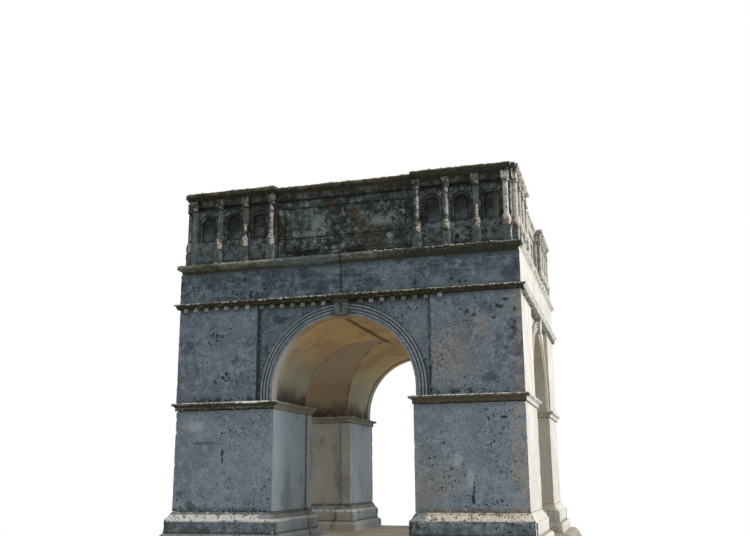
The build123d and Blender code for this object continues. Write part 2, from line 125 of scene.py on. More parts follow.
# How finely the copies are cut, and what counts as flat, level or an arris
FACE_SIZE = 0.016
STAND_FACE_SIZE = 0.024
BURIED_FACE_SIZE = 0.12
SHORTEST_EDGE = 0.006
SHOWN, BURIED = 0, 1
COURSE_CORE = 0.68
SLACK = 0.002
LEVEL = 0.9
MERGE_DISTANCE = 1e-6
CUT_DISTANCE = 1e-5
INSIDE_ARC, OUTSIDE_ARC = 0.997, 1.0005
FLAT_ANGLE = radians(0.2)
ARRIS_ANGLE = radians(35)
PLAIN_FADE = 0.05


class Recipe:
    """Fills a node tree. Most methods add a node and return its first output socket."""

    def __init__(self, tree):
        self.tree = tree

    def feed(self, socket, value):
        if isinstance(value, bpy.types.NodeSocket):
            self.tree.links.new(value, socket)
        else:
            socket.default_value = value

    def add(self, kind, sockets=None, **settings):
        """Adds a node, with values or links for its sockets, and returns the node."""
        made = self.tree.nodes.new(kind)
        for name, value in settings.items():
            setattr(made, name, value)
        for key, value in (sockets or {}).items():
            self.feed(made.inputs[key], value)
        return made

    def out(self, kind, sockets=None, **settings):
        return self.add(kind, sockets, **settings).outputs[0]

    def math(self, operation, *values):
        return self.out("ShaderNodeMath", dict(enumerate(values)), operation=operation)

    def total(self, *values):
        return reduce(lambda made, value: self.math("ADD", made, value), values)

    def product(self, *values):
        return reduce(lambda made, value: self.math("MULTIPLY", made, value), values)

    def distance(self, across, up):
        """The distance that two distances at right angles add up to."""
        return self.math("SQRT", self.total(self.product(across, across), self.product(up, up)))

    def vectors(self, operation, first, second):
        return self.out("ShaderNodeVectorMath", {0: first, 1: second}, operation=operation)

    def scaled(self, vector, scale):
        return self.out("ShaderNodeVectorMath", {"Vector": vector, "Scale": scale},
                        operation="SCALE")

    def at(self, x=0.0, y=0.0, z=0.0):
        return self.out("ShaderNodeCombineXYZ", {"X": x, "Y": y, "Z": z})

    def parts(self, vector):
        """The three numbers of a vector."""
        return self.add("ShaderNodeSeparateXYZ", {"Vector": vector}).outputs

    def share(self, value, low, high, to_low=0.0, to_high=1.0):
        """How far a value has gone from low to high, eased at both ends."""
        return self.out("ShaderNodeMapRange", {
            "Value": value, "From Min": low, "From Max": high,
            "To Min": to_low, "To Max": to_high}, interpolation_type="SMOOTHSTEP")

    def noise(self, vector, scale, detail=4.0, roughness=0.55, wanted="Fac"):
        return self.add("ShaderNodeTexNoise", {
            "Vector": vector, "Scale": scale, "Detail": detail,
            "Roughness": roughness}).outputs[wanted]

    def cells(self, vector, scale):
        """Scattered cells: distance from each middle, and a chance value for each cell."""
        made = self.add("ShaderNodeTexVoronoi", {"Vector": vector, "Scale": scale})
        chance = self.out("ShaderNodeSeparateColor", {"Color": made.outputs["Color"]})
        return made.outputs["Distance"], chance

    def blend(self, factor, first, second, blend_type="MIX"):
        return self.add("ShaderNodeMix", {0: factor, 6: first, 7: second},
                        data_type="RGBA", blend_type=blend_type).outputs[2]

    def chosen(self, wanted, geometry):
        """A geometry, or nothing where it isn't wanted."""
        return self.out("GeometryNodeSwitch", {"Switch": wanted, "True": geometry},
                        input_type="GEOMETRY")

    def placed(self, geometry, place):
        return self.out("GeometryNodeTransform", {"Geometry": geometry, "Translation": place})

    def block(self, size, middle, cuts):
        """A block with its faces cut, set with its middle at a place."""
        cube = self.out("GeometryNodeMeshCube", {
            "Size": size, "Vertices X": cuts, "Vertices Y": cuts, "Vertices Z": cuts})
        return self.placed(cube, middle)

    def joined(self, *geometries):
        made = self.add("GeometryNodeJoinGeometry")
        for geometry in geometries:
            self.feed(made.inputs[0], geometry)
        return made.outputs[0]


def recipe_of(owner):
    """An empty recipe for a material or a world."""
    owner.use_nodes = True
    owner.node_tree.nodes.clear()
    return Recipe(owner.node_tree)


def paint(tone):
    """A tone on the 0 to 255 scale of a screen, as the linear colour that nodes use."""
    if isinstance(tone, bpy.types.NodeSocket):
        return tone
    linear = []
    for value in tone:
        share = value / 255
        linear.append(share / 12.92 if share <= 0.04045 else ((share + 0.055) / 1.055) ** 2.4)
    return (*linear, 1.0)


# Finishes

# Dirt, also used for painted shade in grooves; black spots; worn stone
DIRT_AND_SHADE = (34, 36, 28)
SPOT = (30, 35, 35)
WORN = (206, 202, 190)
PASSAGE_PLANE = 0.345
Z_ATTIC_JOINT = 1.552


class Site:
    """A finish in the making, with what it reads at each point of a surface.

    Tones are red, green and blue from 0 to 255. A share says how strongly a wash holds at a
    point: a number, a socket, or a row of what is read, where its share is nothing, where it
    is full and, if they aren't 0 and 1, the strengths at those two ends.
    """

    def __init__(self, name, patch_scale, body, shade, light=None):
        self.material = bpy.data.materials.new(name)
        recipe = self.recipe = recipe_of(self.material)
        self.shader = recipe.add("ShaderNodeBsdfPrincipled")
        recipe.add("ShaderNodeOutputMaterial", {"Surface": self.shader.outputs[0]})
        self.place = recipe.add("ShaderNodeTexCoord").outputs["Object"]
        self.x, self.y, self.z = recipe.parts(self.place)
        self.off_x, self.off_y = [recipe.math("ABSOLUTE", value) for value in (self.x, self.y)]
        self.outward = recipe.math("MAXIMUM", self.off_x, self.off_y)
        self.inward = recipe.math("MINIMUM", self.off_x, self.off_y)
        normal = recipe.add("ShaderNodeNewGeometry").outputs["Normal"]
        self.normal_x, self.normal_y, self.normal_z = recipe.parts(normal)
        self.arris, self.groove = [
            recipe.add("ShaderNodeAttribute", attribute_name=mark).outputs["Fac"]
            for mark in ("arris", "groove")]
        self.cloud = self.noise(patch_scale, 6.0, 0.62)
        self.mottle = self.noise(34.0, 5.0, 0.68)
        self.speckle = self.noise(90.0, 4.0, 0.75)
        self.grain = self.noise(170.0, 3.0, 0.7)
        self.height = recipe.total(recipe.product(self.grain, 0.5),
                                   recipe.product(self.mottle, 0.9))
        self.colour = self.mixed(("cloud", 0.40, 0.60), shade, body)
        if light:
            self.mottle_and_streak(shade, light)

    def mottle_and_streak(self, shade, light):
        """Mottled tones, with rain streaks drawn out along Z on what stands upright."""
        self.wash(light, ("mottle", 0.46, 0.68))
        self.wash(shade, ("mottle", 0.52, 0.32, 0.0, 0.55))
        self.wash(shade, (self.drawn_out((60.0, 60.0, 3.5), 3.0), 0.52, 0.70, 0.0, 0.4),
                  (self.recipe.math("ABSOLUTE", self.normal_z), 0.6, 0.2))

    def noise(self, scale, detail=4.0, roughness=0.55):
        return self.recipe.noise(self.place, scale, detail, roughness)

    def drawn_out(self, scales, detail):
        """Noise with a scale of its own along each axis."""
        return self.recipe.noise(self.recipe.vectors("MULTIPLY", self.place, scales), 1.0, detail)

    def share(self, read, *ends):
        value = getattr(self, read) if isinstance(read, str) else read
        return self.recipe.share(value, *ends)

    def all_of(self, *shares):
        """Where all of several shares hold."""
        return self.recipe.product(
            *[self.share(*share) if isinstance(share, tuple) else share for share in shares])

    def mixed(self, share, first, second):
        return self.recipe.blend(self.all_of(share), paint(first), paint(second))

    def wash(self, tone, *shares):
        """Lays a tone over the colour so far, where all of the shares hold."""
        self.colour = self.recipe.blend(self.all_of(*shares), self.colour, paint(tone))

    def under(self, level, reach, strength):
        """The strip of painted shadow under an overhang, up to its level."""
        return self.all_of(("z", level - reach, level, 0.0, strength),
                           ("z", level + 0.002, level + 0.001))

    def above(self, level, reach, strength):
        """The strip over a ledge, from its level up."""
        return self.all_of(("z", level + reach, level, 0.0, strength),
                           ("z", level - 0.002, level - 0.001))

    def stains(self, scale, low, high, strength, tone):
        """Soft-edged patches of another tone, each finish with its own."""
        moved = self.recipe.vectors("ADD", self.place, (scale, 2 * scale, 3 * scale))
        self.wash(tone, (self.recipe.noise(moved, scale, 4.0, 0.6), low, high, 0.0, strength))

    def front_marks(self, tone, strength, softness, *marks):
        """Single stains seen on the front: place along X and Z, half width, half height."""
        recipe = self.recipe
        ragged = recipe.product(recipe.math("SUBTRACT", self.mottle, 0.5), 3.2)
        for x, z, half_width, half_height in marks:
            along = recipe.math("DIVIDE", recipe.math("SUBTRACT", self.x, x), half_width)
            up = recipe.math("DIVIDE", recipe.math("SUBTRACT", self.z, z), half_height)
            far = recipe.total(recipe.distance(along, up), ragged)
            self.wash(tone, (far, 1.0 + softness, 1.0 - softness, 0.0, strength),
                      ("y", -0.66, -0.68))

    def lichen(self, spot, fine_share, blot_share=None, blot_scale=34.0):
        """Black lichen: fine specks all over, and larger blots in loose clusters."""
        recipe = self.recipe
        wander = recipe.scaled(recipe.noise(self.place, 85.0, 4.0, 0.5, "Color"), 0.022)
        wandering = recipe.vectors("ADD", self.place, wander)
        cluster = self.share(self.noise(5.5, 3.0), 0.46, 0.60)
        spots = 0.0
        for scale, size, chosen, everywhere in (
                (blot_scale, 0.36, 0.50 * (blot_share or fine_share), 0.02),
                (80.0, 0.40, 0.45 * fine_share, 0.25),
                (150.0, 0.46, 0.40 * fine_share, 0.50)):
            far, chance = recipe.cells(wandering, scale)
            there = self.all_of((far, size, size * 0.6), (chance, 1.0 - chosen, 1.03 - chosen),
                                recipe.math("MINIMUM", recipe.total(cluster, everywhere), 1.0))
            spots = recipe.math("MAXIMUM", spots, there)
        off_sunny_side = (recipe.math("MINIMUM", self.normal_x, self.x), 0.9, 0.5)
        spots = self.all_of(spots, off_sunny_side, 0.92)
        self.wash(spot, spots)
        self.height = recipe.math("SUBTRACT", self.height, recipe.product(spots, 0.25))

    def bare_arrises(self, worn, strength):
        self.wash(worn, ("arris", 0.35, 0.9, 0.0, strength), ("mottle", 0.38, 0.60))

    def dirt_and_shade_in_grooves(self, dirt, strength):
        # Dirt and painted shade along the grooves and inner corners
        self.wash(dirt, ("groove", 0.15, 0.8, 0.0, strength))

    def painted_passage_light(self, reveal, pilaster, strength):
        """Painted bounce light on the faces round the passages, which look smoother and lighter."""
        by_passages = self.all_of(("inward", PASSAGE_PLANE, PASSAGE_PLANE - 0.01),
                                ("outward", 0.722, 0.70, 0.0, strength))
        along_y = (self.recipe.math("ABSOLUTE", self.normal_y), 0.4, 0.7)
        smudges = self.drawn_out((10.0, 10.0, 5.0), 5.0)
        self.wash(self.mixed(along_y, reveal, pilaster), by_passages)
        self.wash((116, 117, 110), by_passages, (smudges, 0.53, 0.64, 0.0, 0.55))
        self.wash((190, 192, 188), by_passages, (smudges, 0.46, 0.34, 0.0, 0.4))

    def painted_edge_light(self, tone, strength):
        """Painted light on the front next to its arris with the sunlit side: paler and browner."""
        self.wash(tone, ("x", 0.62, 0.74, 0.0, strength), ("normal_y", -0.4, -0.8),
                  ("mottle", 0.36, 0.56))

    def painted_sun_and_bleach(self, strength):
        """Painted sunlight and sun bleaching on the outer faces towards +X; what lies round them is
        paler.
        """
        self.wash((178, 171, 158), ("x", 0.62, 0.68, 0.0, strength), ("off_y", 0.698, 0.690),
                  0.8)
        sunlit_bleached_tone = self.mixed(("cloud", 0.42, 0.60), (240, 238, 234), (226, 222, 213))
        for read, low, high, most, tone in (
                ("mottle", 0.50, 0.68, 0.6, (212, 205, 193)),
                ("speckle", 0.62, 0.68, 0.5, (150, 142, 124)),
                ("groove", 0.2, 0.9, 0.6, (140, 130, 112))):
            sunlit_bleached_tone = self.mixed((read, low, high, 0.0, most), sunlit_bleached_tone, tone)
        self.wash(sunlit_bleached_tone, ("normal_x", 0.5, 0.9), ("x", 0.60, 0.66, 0.0, strength))

    def finish(self, bump, roughness=0.9):
        """Gives the colour its grain and the surface its relief and roughness."""
        recipe = self.recipe
        grained = recipe.blend(self.share("grain", 0.3, 0.7), (0.25, 0.25, 0.25, 1.0),
                               (0.75, 0.75, 0.75, 1.0))
        bumped = recipe.out("ShaderNodeBump", {
            "Height": self.height, "Distance": bump, "Strength": 1.0})
        for key, value in {
                "Base Color": recipe.blend(0.5, self.colour, grained, "OVERLAY"),
                "Roughness": roughness, "Specular IOR Level": 0.25, "Normal": bumped}.items():
            recipe.feed(self.shader.inputs[key], value)
        return self.material


def plinth_finish():
    """Pale speckled slopes over a darker, blotched die."""
    site = Site("plinth_limestone", 7.0, (106, 116, 122), (80, 88, 92), (124, 132, 136))
    slope = site.share("z", Z_DIE_TOP - 0.001, Z_DIE_TOP + 0.002)
    on_right = site.share("x", -0.1, 0.2)
    site.stains(24.0, 0.56, 0.64, 0.6, (60, 64, 62))
    site.lichen(SPOT, 0.9, 0.8)
    site.painted_passage_light((160, 172, 180), (168, 164, 152), 0.85)
    # The slopes: pale with dust and painted light, greyer with painted shade by the passages
    dust_and_light = site.mixed(on_right, (226, 222, 214), (228, 216, 198))
    by_passages = ("inward", PASSAGE_PLANE, PASSAGE_PLANE - 0.02)
    site.wash(site.mixed(by_passages, dust_and_light, (150, 156, 156)), slope)
    site.wash((104, 96, 84), slope, ("grain", 0.52, 0.58), 0.7)
    far, chance = site.recipe.cells(site.place, 130.0)
    site.wash((46, 40, 32), slope, (far, 0.45, 0.35), (chance, 0.70, 0.74))
    site.wash((104, 102, 94), slope, ("mottle", 0.54, 0.60), 0.8)
    site.wash(site.mixed(on_right, (84, 88, 88), (84, 76, 60)),
              ("z", Z_SHAFT - 0.016, Z_SHAFT - 0.007, 0.0, 0.9), (on_right, 0.2, 0.8, 1.0, 0.35),
              ("speckle", 0.36, 0.50))
    site.wash((176, 172, 160), ("z", Z_DIE_FOOT + 0.002, Z_DIE_FOOT - 0.002, 0.0, 0.6),
              ("speckle", 0.42, 0.54))
    # A painted highlight along the top edge of the die, strongest on the left
    site.wash((226, 220, 212), ("z", Z_DIE_TOP - 0.009, Z_DIE_TOP - 0.004),
              ("z", Z_DIE_TOP + 0.006, Z_DIE_TOP + 0.002), (on_right, 0.8, 0.2, 0.0, 0.85),
              ("mottle", 0.34, 0.46))
    site.bare_arrises(WORN, 0.5)
    site.dirt_and_shade_in_grooves(DIRT_AND_SHADE, 0.6)
    site.painted_sun_and_bleach(0.9)
    return site.finish(0.0036)


def pier_finish():
    """Smooth grey shafts, warmer at the right, with a few dark and pale marks."""
    site = Site("pier_limestone", 5.0, (117, 128, 136), (103, 113, 120), (127, 137, 144))
    on_right = site.share("x", 0.0, 0.2)
    site.wash((134, 126, 116), (site.noise(3.4, 3.0), 0.47, 0.58, 0.0, 0.45), on_right,
              ("z", Z_IMPOST - 0.12, Z_SHAFT + 0.12))
    site.lichen((40, 46, 47), 0.6, 0.38, 52.0)
    site.front_marks(SPOT, 0.9, 0.2, (0.520, 0.520, 0.004, 0.030),
                     (0.517, 0.478, 0.006, 0.018), (-0.509, 0.660, 0.005, 0.012),
                     (-0.508, 0.630, 0.004, 0.014), (0.640, 0.775, 0.012, 0.004))
    site.front_marks((164, 168, 168), 0.5, 0.5, (0.508, 0.560, 0.014, 0.036),
                     (0.459, 0.620, 0.018, 0.022), (-0.640, 0.770, 0.040, 0.020))
    site.front_marks((58, 66, 72), 0.6, 0.5, (-0.643, 0.450, 0.026, 0.016),
                     (-0.700, 0.500, 0.018, 0.012), (-0.600, 0.700, 0.050, 0.006))
    site.wash(site.mixed(on_right, (44, 44, 38), (96, 84, 62)), site.above(Z_SHAFT, 0.022, 1.0),
              ("speckle", 0.44, 0.50))
    # Painted shadow under the impost
    site.wash((76, 74, 64), site.under(Z_IMPOST, 0.028, 0.7), ("mottle", 0.42, 0.60))
    site.painted_passage_light((166, 180, 190), (172, 170, 160), 0.9)
    site.painted_edge_light((150, 138, 126), 0.6)
    site.bare_arrises((150, 154, 154), 0.3)
    site.dirt_and_shade_in_grooves(DIRT_AND_SHADE, 0.7)
    site.painted_sun_and_bleach(0.9)
    return site.finish(0.0032)


def upper_finish():
    """Upper piers: blotched, with black growth at their feet and beside the panels."""
    site = Site("upper_pier_limestone", 7.0, (108, 118, 126), (92, 102, 109), (122, 132, 139))
    site.stains(9.0, 0.60, 0.66, 0.65, (64, 74, 86))
    site.front_marks((134, 127, 119), 0.6, 0.9, (0.450, 1.010, 0.075, 0.100),
                     (0.570, 1.120, 0.030, 0.050))
    site.front_marks((62, 72, 84), 0.7, 0.4, (-0.673, 1.102, 0.034, 0.036),
                     (-0.458, 1.037, 0.018, 0.016), (0.690, 1.110, 0.016, 0.036),
                     (0.595, 0.925, 0.030, 0.014))
    site.front_marks(SPOT, 0.9, 0.2, (-0.502, 0.980, 0.011, 0.008),
                     (-0.515, 0.966, 0.008, 0.007), (-0.550, 0.950, 0.005, 0.005),
                     (0.645, 1.197, 0.015, 0.008), (0.616, 1.152, 0.008, 0.006),
                     (0.549, 1.235, 0.006, 0.006), (0.694, 1.108, 0.008, 0.018),
                     (0.665, 1.224, 0.009, 0.005), (0.700, 1.180, 0.005, 0.011))
    site.lichen(SPOT, 0.85, 0.62)
    site.wash(SPOT, site.above(Z_UPPER, 0.045, 1.0), ("mottle", 0.50, 0.57))
    # Painted shadow under the dentil course, weaker to the right
    site.wash((44, 50, 42), site.under(Z_DENTIL, 0.03, 0.75), ("x", 0.40, 0.55, 1.0, 0.4))
    site.wash((48, 54, 50), ("outward", UPPER_PLANE - 0.0005, UPPER_PLANE - 0.002), 0.75)
    site.painted_edge_light((140, 130, 120), 0.45)
    site.bare_arrises((150, 154, 154), 0.3)
    site.painted_sun_and_bleach(0.9)
    return site.finish(0.0032)


def arch_finish():
    """Spandrels, archivolt and keystones: grooves hold dirt and painted shade, the fillets' arrises are
    bare.
    """
    site = Site("arch_limestone", 7.0, (96, 107, 113), (76, 87, 93), (110, 120, 125))
    recipe = site.recipe
    rise = recipe.math("MAXIMUM", recipe.math("SUBTRACT", site.z, Z_SPRING), 0.0)
    reach = recipe.distance(rise, site.inward)
    site.stains(10.0, 0.60, 0.66, 0.6, (58, 68, 80))
    site.front_marks((48, 58, 70), 0.7, 0.5, (-0.268, 1.198, 0.026, 0.018),
                     (-0.333, 1.075, 0.018, 0.028), (0.335, 1.085, 0.014, 0.034))
    site.wash((122, 132, 137), ("x", 0.10, 0.30, 0.0, 0.45))
    site.lichen(SPOT, 0.7, 0.5)
    # Painted shadow under the dentil course
    site.wash((40, 46, 36), site.under(Z_DENTIL, 0.032, 0.9), ("cloud", 0.30, 0.45))
    # The panel's corners, with dirt and painted shade, then the archivolt and the keystone
    site.wash((30, 36, 32), ("inward", PANEL_HALF - 0.022, PANEL_HALF - 0.001, 0.0, 0.95),
              ("mottle", 0.36, 0.54), ("outward", PANEL_PLANE + 0.003, PANEL_PLANE + 0.001))
    site.wash((124, 132, 136), (reach, ARCHIVOLT_RADIUS + 0.001, ARCHIVOLT_RADIUS - 0.001),
              (reach, ARCH_RADIUS - 0.001, ARCH_RADIUS + 0.001),
              ("outward", PANEL_PLANE + 0.003, PANEL_PLANE + 0.005), 0.55)
    site.wash((72, 76, 66), ("inward", 0.050, 0.046), ("z", Z_CROWN - 0.012, Z_CROWN - 0.008),
              ("outward", PANEL_PLANE + 0.004, PANEL_PLANE + 0.006),
              ("mottle", 0.62, 0.42, 0.35, 0.85))
    site.dirt_and_shade_in_grooves((44, 50, 50), 0.65)
    site.bare_arrises((160, 165, 164), 0.35)
    # The soffit: grey at its foot and ochre at the crown, in other tones on the back arch
    towards_crown = ("z", Z_SPRING + 0.16, Z_SPRING + 0.27)
    on_front = site.mixed(towards_crown, (180, 178, 174), (170, 146, 104))
    on_back = site.mixed(towards_crown, (158, 157, 138), (186, 158, 112))
    site.wash(site.mixed(("y", -0.2, 0.2), on_front, on_back),
              (reach, ARCH_RADIUS + 0.0045, ARCH_RADIUS + 0.0035),
              ("outward", PANEL_PLANE + 0.004, PANEL_PLANE + 0.003), 0.92)
    site.painted_sun_and_bleach(0.9)
    return site.finish(0.003)


def frieze_finish():
    """Level bands of tone, dark clouds, and a joint on the middle line."""
    site = Site("frieze_limestone", 4.0, (88, 100, 106), (58, 70, 77), (108, 119, 124))
    site.wash((110, 121, 126), (site.drawn_out((7.0, 7.0, 70.0), 4.0), 0.46, 0.66, 0.0, 0.5))
    site.stains(7.0, 0.54, 0.66, 0.75, (40, 50, 56))
    site.stains(15.0, 0.58, 0.66, 0.6, (40, 46, 46))
    site.wash((112, 122, 128), ("x", 0.0, 0.3), ("z", Z_MAIN, Z_FRIEZE), 0.28)
    site.front_marks((44, 54, 60), 0.65, 0.8, (-0.567, 1.375, 0.090, 0.030),
                     (-0.304, 1.366, 0.070, 0.035), (0.690, 1.330, 0.030, 0.030))
    site.lichen(SPOT, 0.85, 0.8)
    # Painted shadow under the main cornice
    site.wash((36, 40, 36), site.under(Z_MAIN, 0.03, 0.7), ("mottle", 0.40, 0.56))
    site.wash((44, 49, 46), site.above(Z_FRIEZE, 0.016, 0.6), ("x", 0.1, 0.4),
              ("mottle", 0.36, 0.50))
    site.wash(DIRT_AND_SHADE, ("off_x", 0.006, 0.002, 0.0, 0.7))
    site.painted_sun_and_bleach(0.85)
    return site.finish(0.0036)


def moulding_finish(name, z_top, body, shade, light, ledge, underside_shade, line=0.010, face=None,
                    right_tone=None, overgrown=(), by_passages=False, wall_below=None):
    """A moulded course: painted shade on what looks down, a painted highlight along its top arris."""
    site = Site(name, 8.0, body, shade, light)
    site.lichen((34, 34, 28), 0.6)
    # Painted shade on what looks down, and in the hollow under the face
    dark = site.share("normal_z", -0.1, -0.6, 0.0, 0.9)
    if face:
        shaded_hollow = site.share("z", z_top - face + 0.003, z_top - face, 0.0, 0.9)
        dark = site.recipe.math("MAXIMUM", site.all_of(dark, 0.4), shaded_hollow)
    site.wash(underside_shade, dark)
    if right_tone:
        site.wash(right_tone, ("x", 0.0, 0.35, 0.0, 0.88))
    # Pale dust and painted light on what looks up, in patches broken by fine specks
    site.wash(ledge, ("normal_z", 0.25, 0.7), ("cloud", 0.36, 0.56, 0.35, 1.0),
              ("speckle", 0.40, 0.56))
    site.dirt_and_shade_in_grooves((40, 36, 24), 0.5)
    inner_top = site.all_of(("normal_z", 0.6, 0.9), ("outward", 0.69, 0.65))
    patches = site.noise(3.2, 7.0, 0.68)
    site.wash(shade, inner_top, (patches, 0.44, 0.58), 0.75)
    site.wash((96, 104, 84), inner_top, (patches, 0.60, 0.68), 0.7)
    # A painted highlight along the top arris, where the stone is also worn
    site.wash(ledge, ("z", z_top - line, z_top - line / 2), ("mottle", 0.30, 0.44),
              ("arris", 0.25, 0.65))
    site.front_marks((84, 94, 92), 0.8, 0.6, *overgrown)
    # Round the passages: a painted highlight on the impost's top edge, and painted bounce light
    if by_passages:
        site.front_marks((250, 248, 240), 0.9, 0.4, (-0.385, z_top - 0.003, 0.060, 0.005))
        site.painted_passage_light((158, 158, 144), (158, 152, 134), 0.65)
    if wall_below:
        site.wash(site.mixed(("mottle", 0.44, 0.60), (33, 37, 30), (70, 76, 70)),
                  ("z", wall_below + 0.001, wall_below - 0.001, 0.0, 0.9))
        site.wash((28, 31, 24), ("z", Z_ARCHITRAVE + 0.011, Z_ARCHITRAVE + 0.004, 0.0, 0.7))
    site.painted_sun_and_bleach(0.6 if wall_below else 0.85)
    return site.finish(0.0034)


def attic_finish():
    """Green-black with lichen: painted shade in the niches, a paler dado, pale rosettes."""
    site = Site("attic_limestone", 9.0, (80, 89, 86), (44, 51, 45), (106, 115, 112))
    recipe = site.recipe
    site.stains(16.0, 0.54, 0.62, 0.75, (36, 37, 24))
    site.stains(6.0, 0.56, 0.64, 0.5, (70, 56, 34))
    far, chance = recipe.cells(site.place, 24.0)
    site.wash((132, 140, 134), (far, 0.46, 0.30), (chance, 0.68, 0.72), ("mottle", 0.36, 0.52),
              0.65)
    site.stains(48.0, 0.51, 0.57, 0.6, (30, 34, 27))
    site.front_marks((122, 132, 128), 0.7, 0.4, (-0.108, 1.614, 0.035, 0.030),
                     (-0.140, 1.560, 0.045, 0.016), (0.160, 1.600, 0.050, 0.020))
    site.front_marks((84, 62, 38), 0.65, 0.7, (-0.050, 1.690, 0.018, 0.012),
                     (0.057, 1.650, 0.020, 0.014))
    site.front_marks((18, 22, 20), 0.9, 0.3, (-0.190, 1.485, 0.095, 0.012),
                     (0.060, 1.482, 0.050, 0.008))
    # The dado of the corner bays, and the joint between courses on the plain centre
    site.wash((100, 110, 116), ("z", Z_ATTIC + 0.104, Z_ATTIC + 0.100), ("inward", 0.30, 0.31),
              0.55, ("mottle", 0.38, 0.54))
    from_joint = recipe.math("ABSOLUTE", recipe.math("SUBTRACT", site.z, Z_ATTIC_JOINT))
    site.wash((24, 27, 23), (from_joint, 0.0045, 0.0015, 0.0, 0.9), ("inward", 0.298, 0.294),
              ("cloud", 0.34, 0.42))
    site.lichen((18, 22, 16), 1.5, 1.3)
    # Inside the niches: paler low down, and painted shade that deepens towards their heads
    in_niche = site.all_of(("outward", BAY_PLANE - 0.0015, BAY_PLANE - 0.010),
                           ("inward", 0.298, 0.302))
    site.wash((84, 95, 102), in_niche, ("z", Z_ATTIC + 0.175, Z_ATTIC + 0.13),
              ("cloud", 0.36, 0.52), 0.6)
    site.wash((20, 23, 17), in_niche, ("z", Z_ATTIC + 0.12, Z_ATTIC + 0.19, 0.15, 0.85),
              ("mottle", 0.30, 0.52))
    # Painted shadow under the architrave, weaker on the plain centre
    site.wash((16, 18, 12), site.under(Z_ARCHITRAVE, 0.026, 0.95),
              ("inward", 0.29, 0.31, 0.35, 1.0))
    site.wash((24, 29, 27), site.above(Z_ATTIC, 0.03, 0.9), ("mottle", 0.38, 0.52))
    site.dirt_and_shade_in_grooves((20, 22, 16), 0.6)
    site.bare_arrises((110, 114, 106), 0.5)
    site.painted_sun_and_bleach(0.55)
    return site.finish(0.005)


def colonnette_finish():
    """Like the attic's wall, but with painted light on the bulbs and on the sides towards +X."""
    site = Site("colonnette_limestone", 16.0, (80, 88, 84), (44, 50, 45), (112, 117, 110))
    recipe = site.recipe
    # Painted light on the bulbs, strongest on their upper sides towards +X
    lit = recipe.total(site.normal_x, recipe.product(site.normal_z, 0.8))
    site.wash(site.mixed((lit, -0.2, 0.6), (112, 108, 92), (198, 194, 182)),
              ("z", Z_ATTIC + 0.060, Z_ATTIC + 0.068), ("z", Z_ATTIC + 0.114, Z_ATTIC + 0.104),
              ("mottle", 0.36, 0.50), 0.7)
    # Painted sunlight on the sides towards +X, and on the corner colonnette
    site.wash((190, 184, 172), ("normal_x", -0.2, 0.6),
              ("z", Z_ARCHITRAVE + 0.002, Z_ARCHITRAVE - 0.002, 0.25, 1.0),
              ("outward", BAY_PLANE + 0.006, BAY_PLANE + 0.009), ("mottle", 0.38, 0.50), 0.85)
    site.wash((190, 182, 174), ("x", 0.655, 0.665), ("y", -0.68, -0.69),
              ("z", Z_ATTIC + 0.066, Z_ATTIC + 0.076), 0.75)
    site.stains(40.0, 0.54, 0.60, 0.75, (42, 42, 32))
    site.lichen((26, 28, 20), 1.5, 0.6)
    # Orange lichen on the corner's bulb, then the shade under the architrave, the pedestals
    # and what lies flat on the wall
    site.wash((150, 110, 44), ("x", 0.66, 0.67), ("y", -0.69, -0.70),
              ("z", Z_ATTIC + 0.085, Z_ATTIC + 0.075), ("z", Z_ATTIC + 0.055, Z_ATTIC + 0.062),
              ("speckle", 0.44, 0.54), 0.75)
    site.wash((40, 42, 34), site.under(Z_ARCHITRAVE, 0.040, 0.5))
    site.wash((70, 78, 80), ("z", Z_ATTIC + 0.066, Z_ATTIC + 0.058), 0.6)
    site.wash((96, 103, 102), ("outward", BAY_PLANE + 0.008, BAY_PLANE + 0.005, 0.0, 0.6),
              ("mottle", 0.36, 0.54, 0.3, 1.0))
    site.dirt_and_shade_in_grooves((20, 22, 16), 0.7)
    site.painted_sun_and_bleach(0.5)
    return site.finish(0.003)


def dentil_finish():
    site = Site("dentil_limestone", 20.0, (122, 124, 114), (96, 98, 88), (146, 146, 134))
    site.lichen((50, 52, 42), 0.6)
    # Painted shade under the dentils
    site.wash((60, 54, 36), ("normal_z", -0.3, -0.8, 0.0, 0.8))
    site.bare_arrises(WORN, 0.4)
    return site.finish(0.0025)


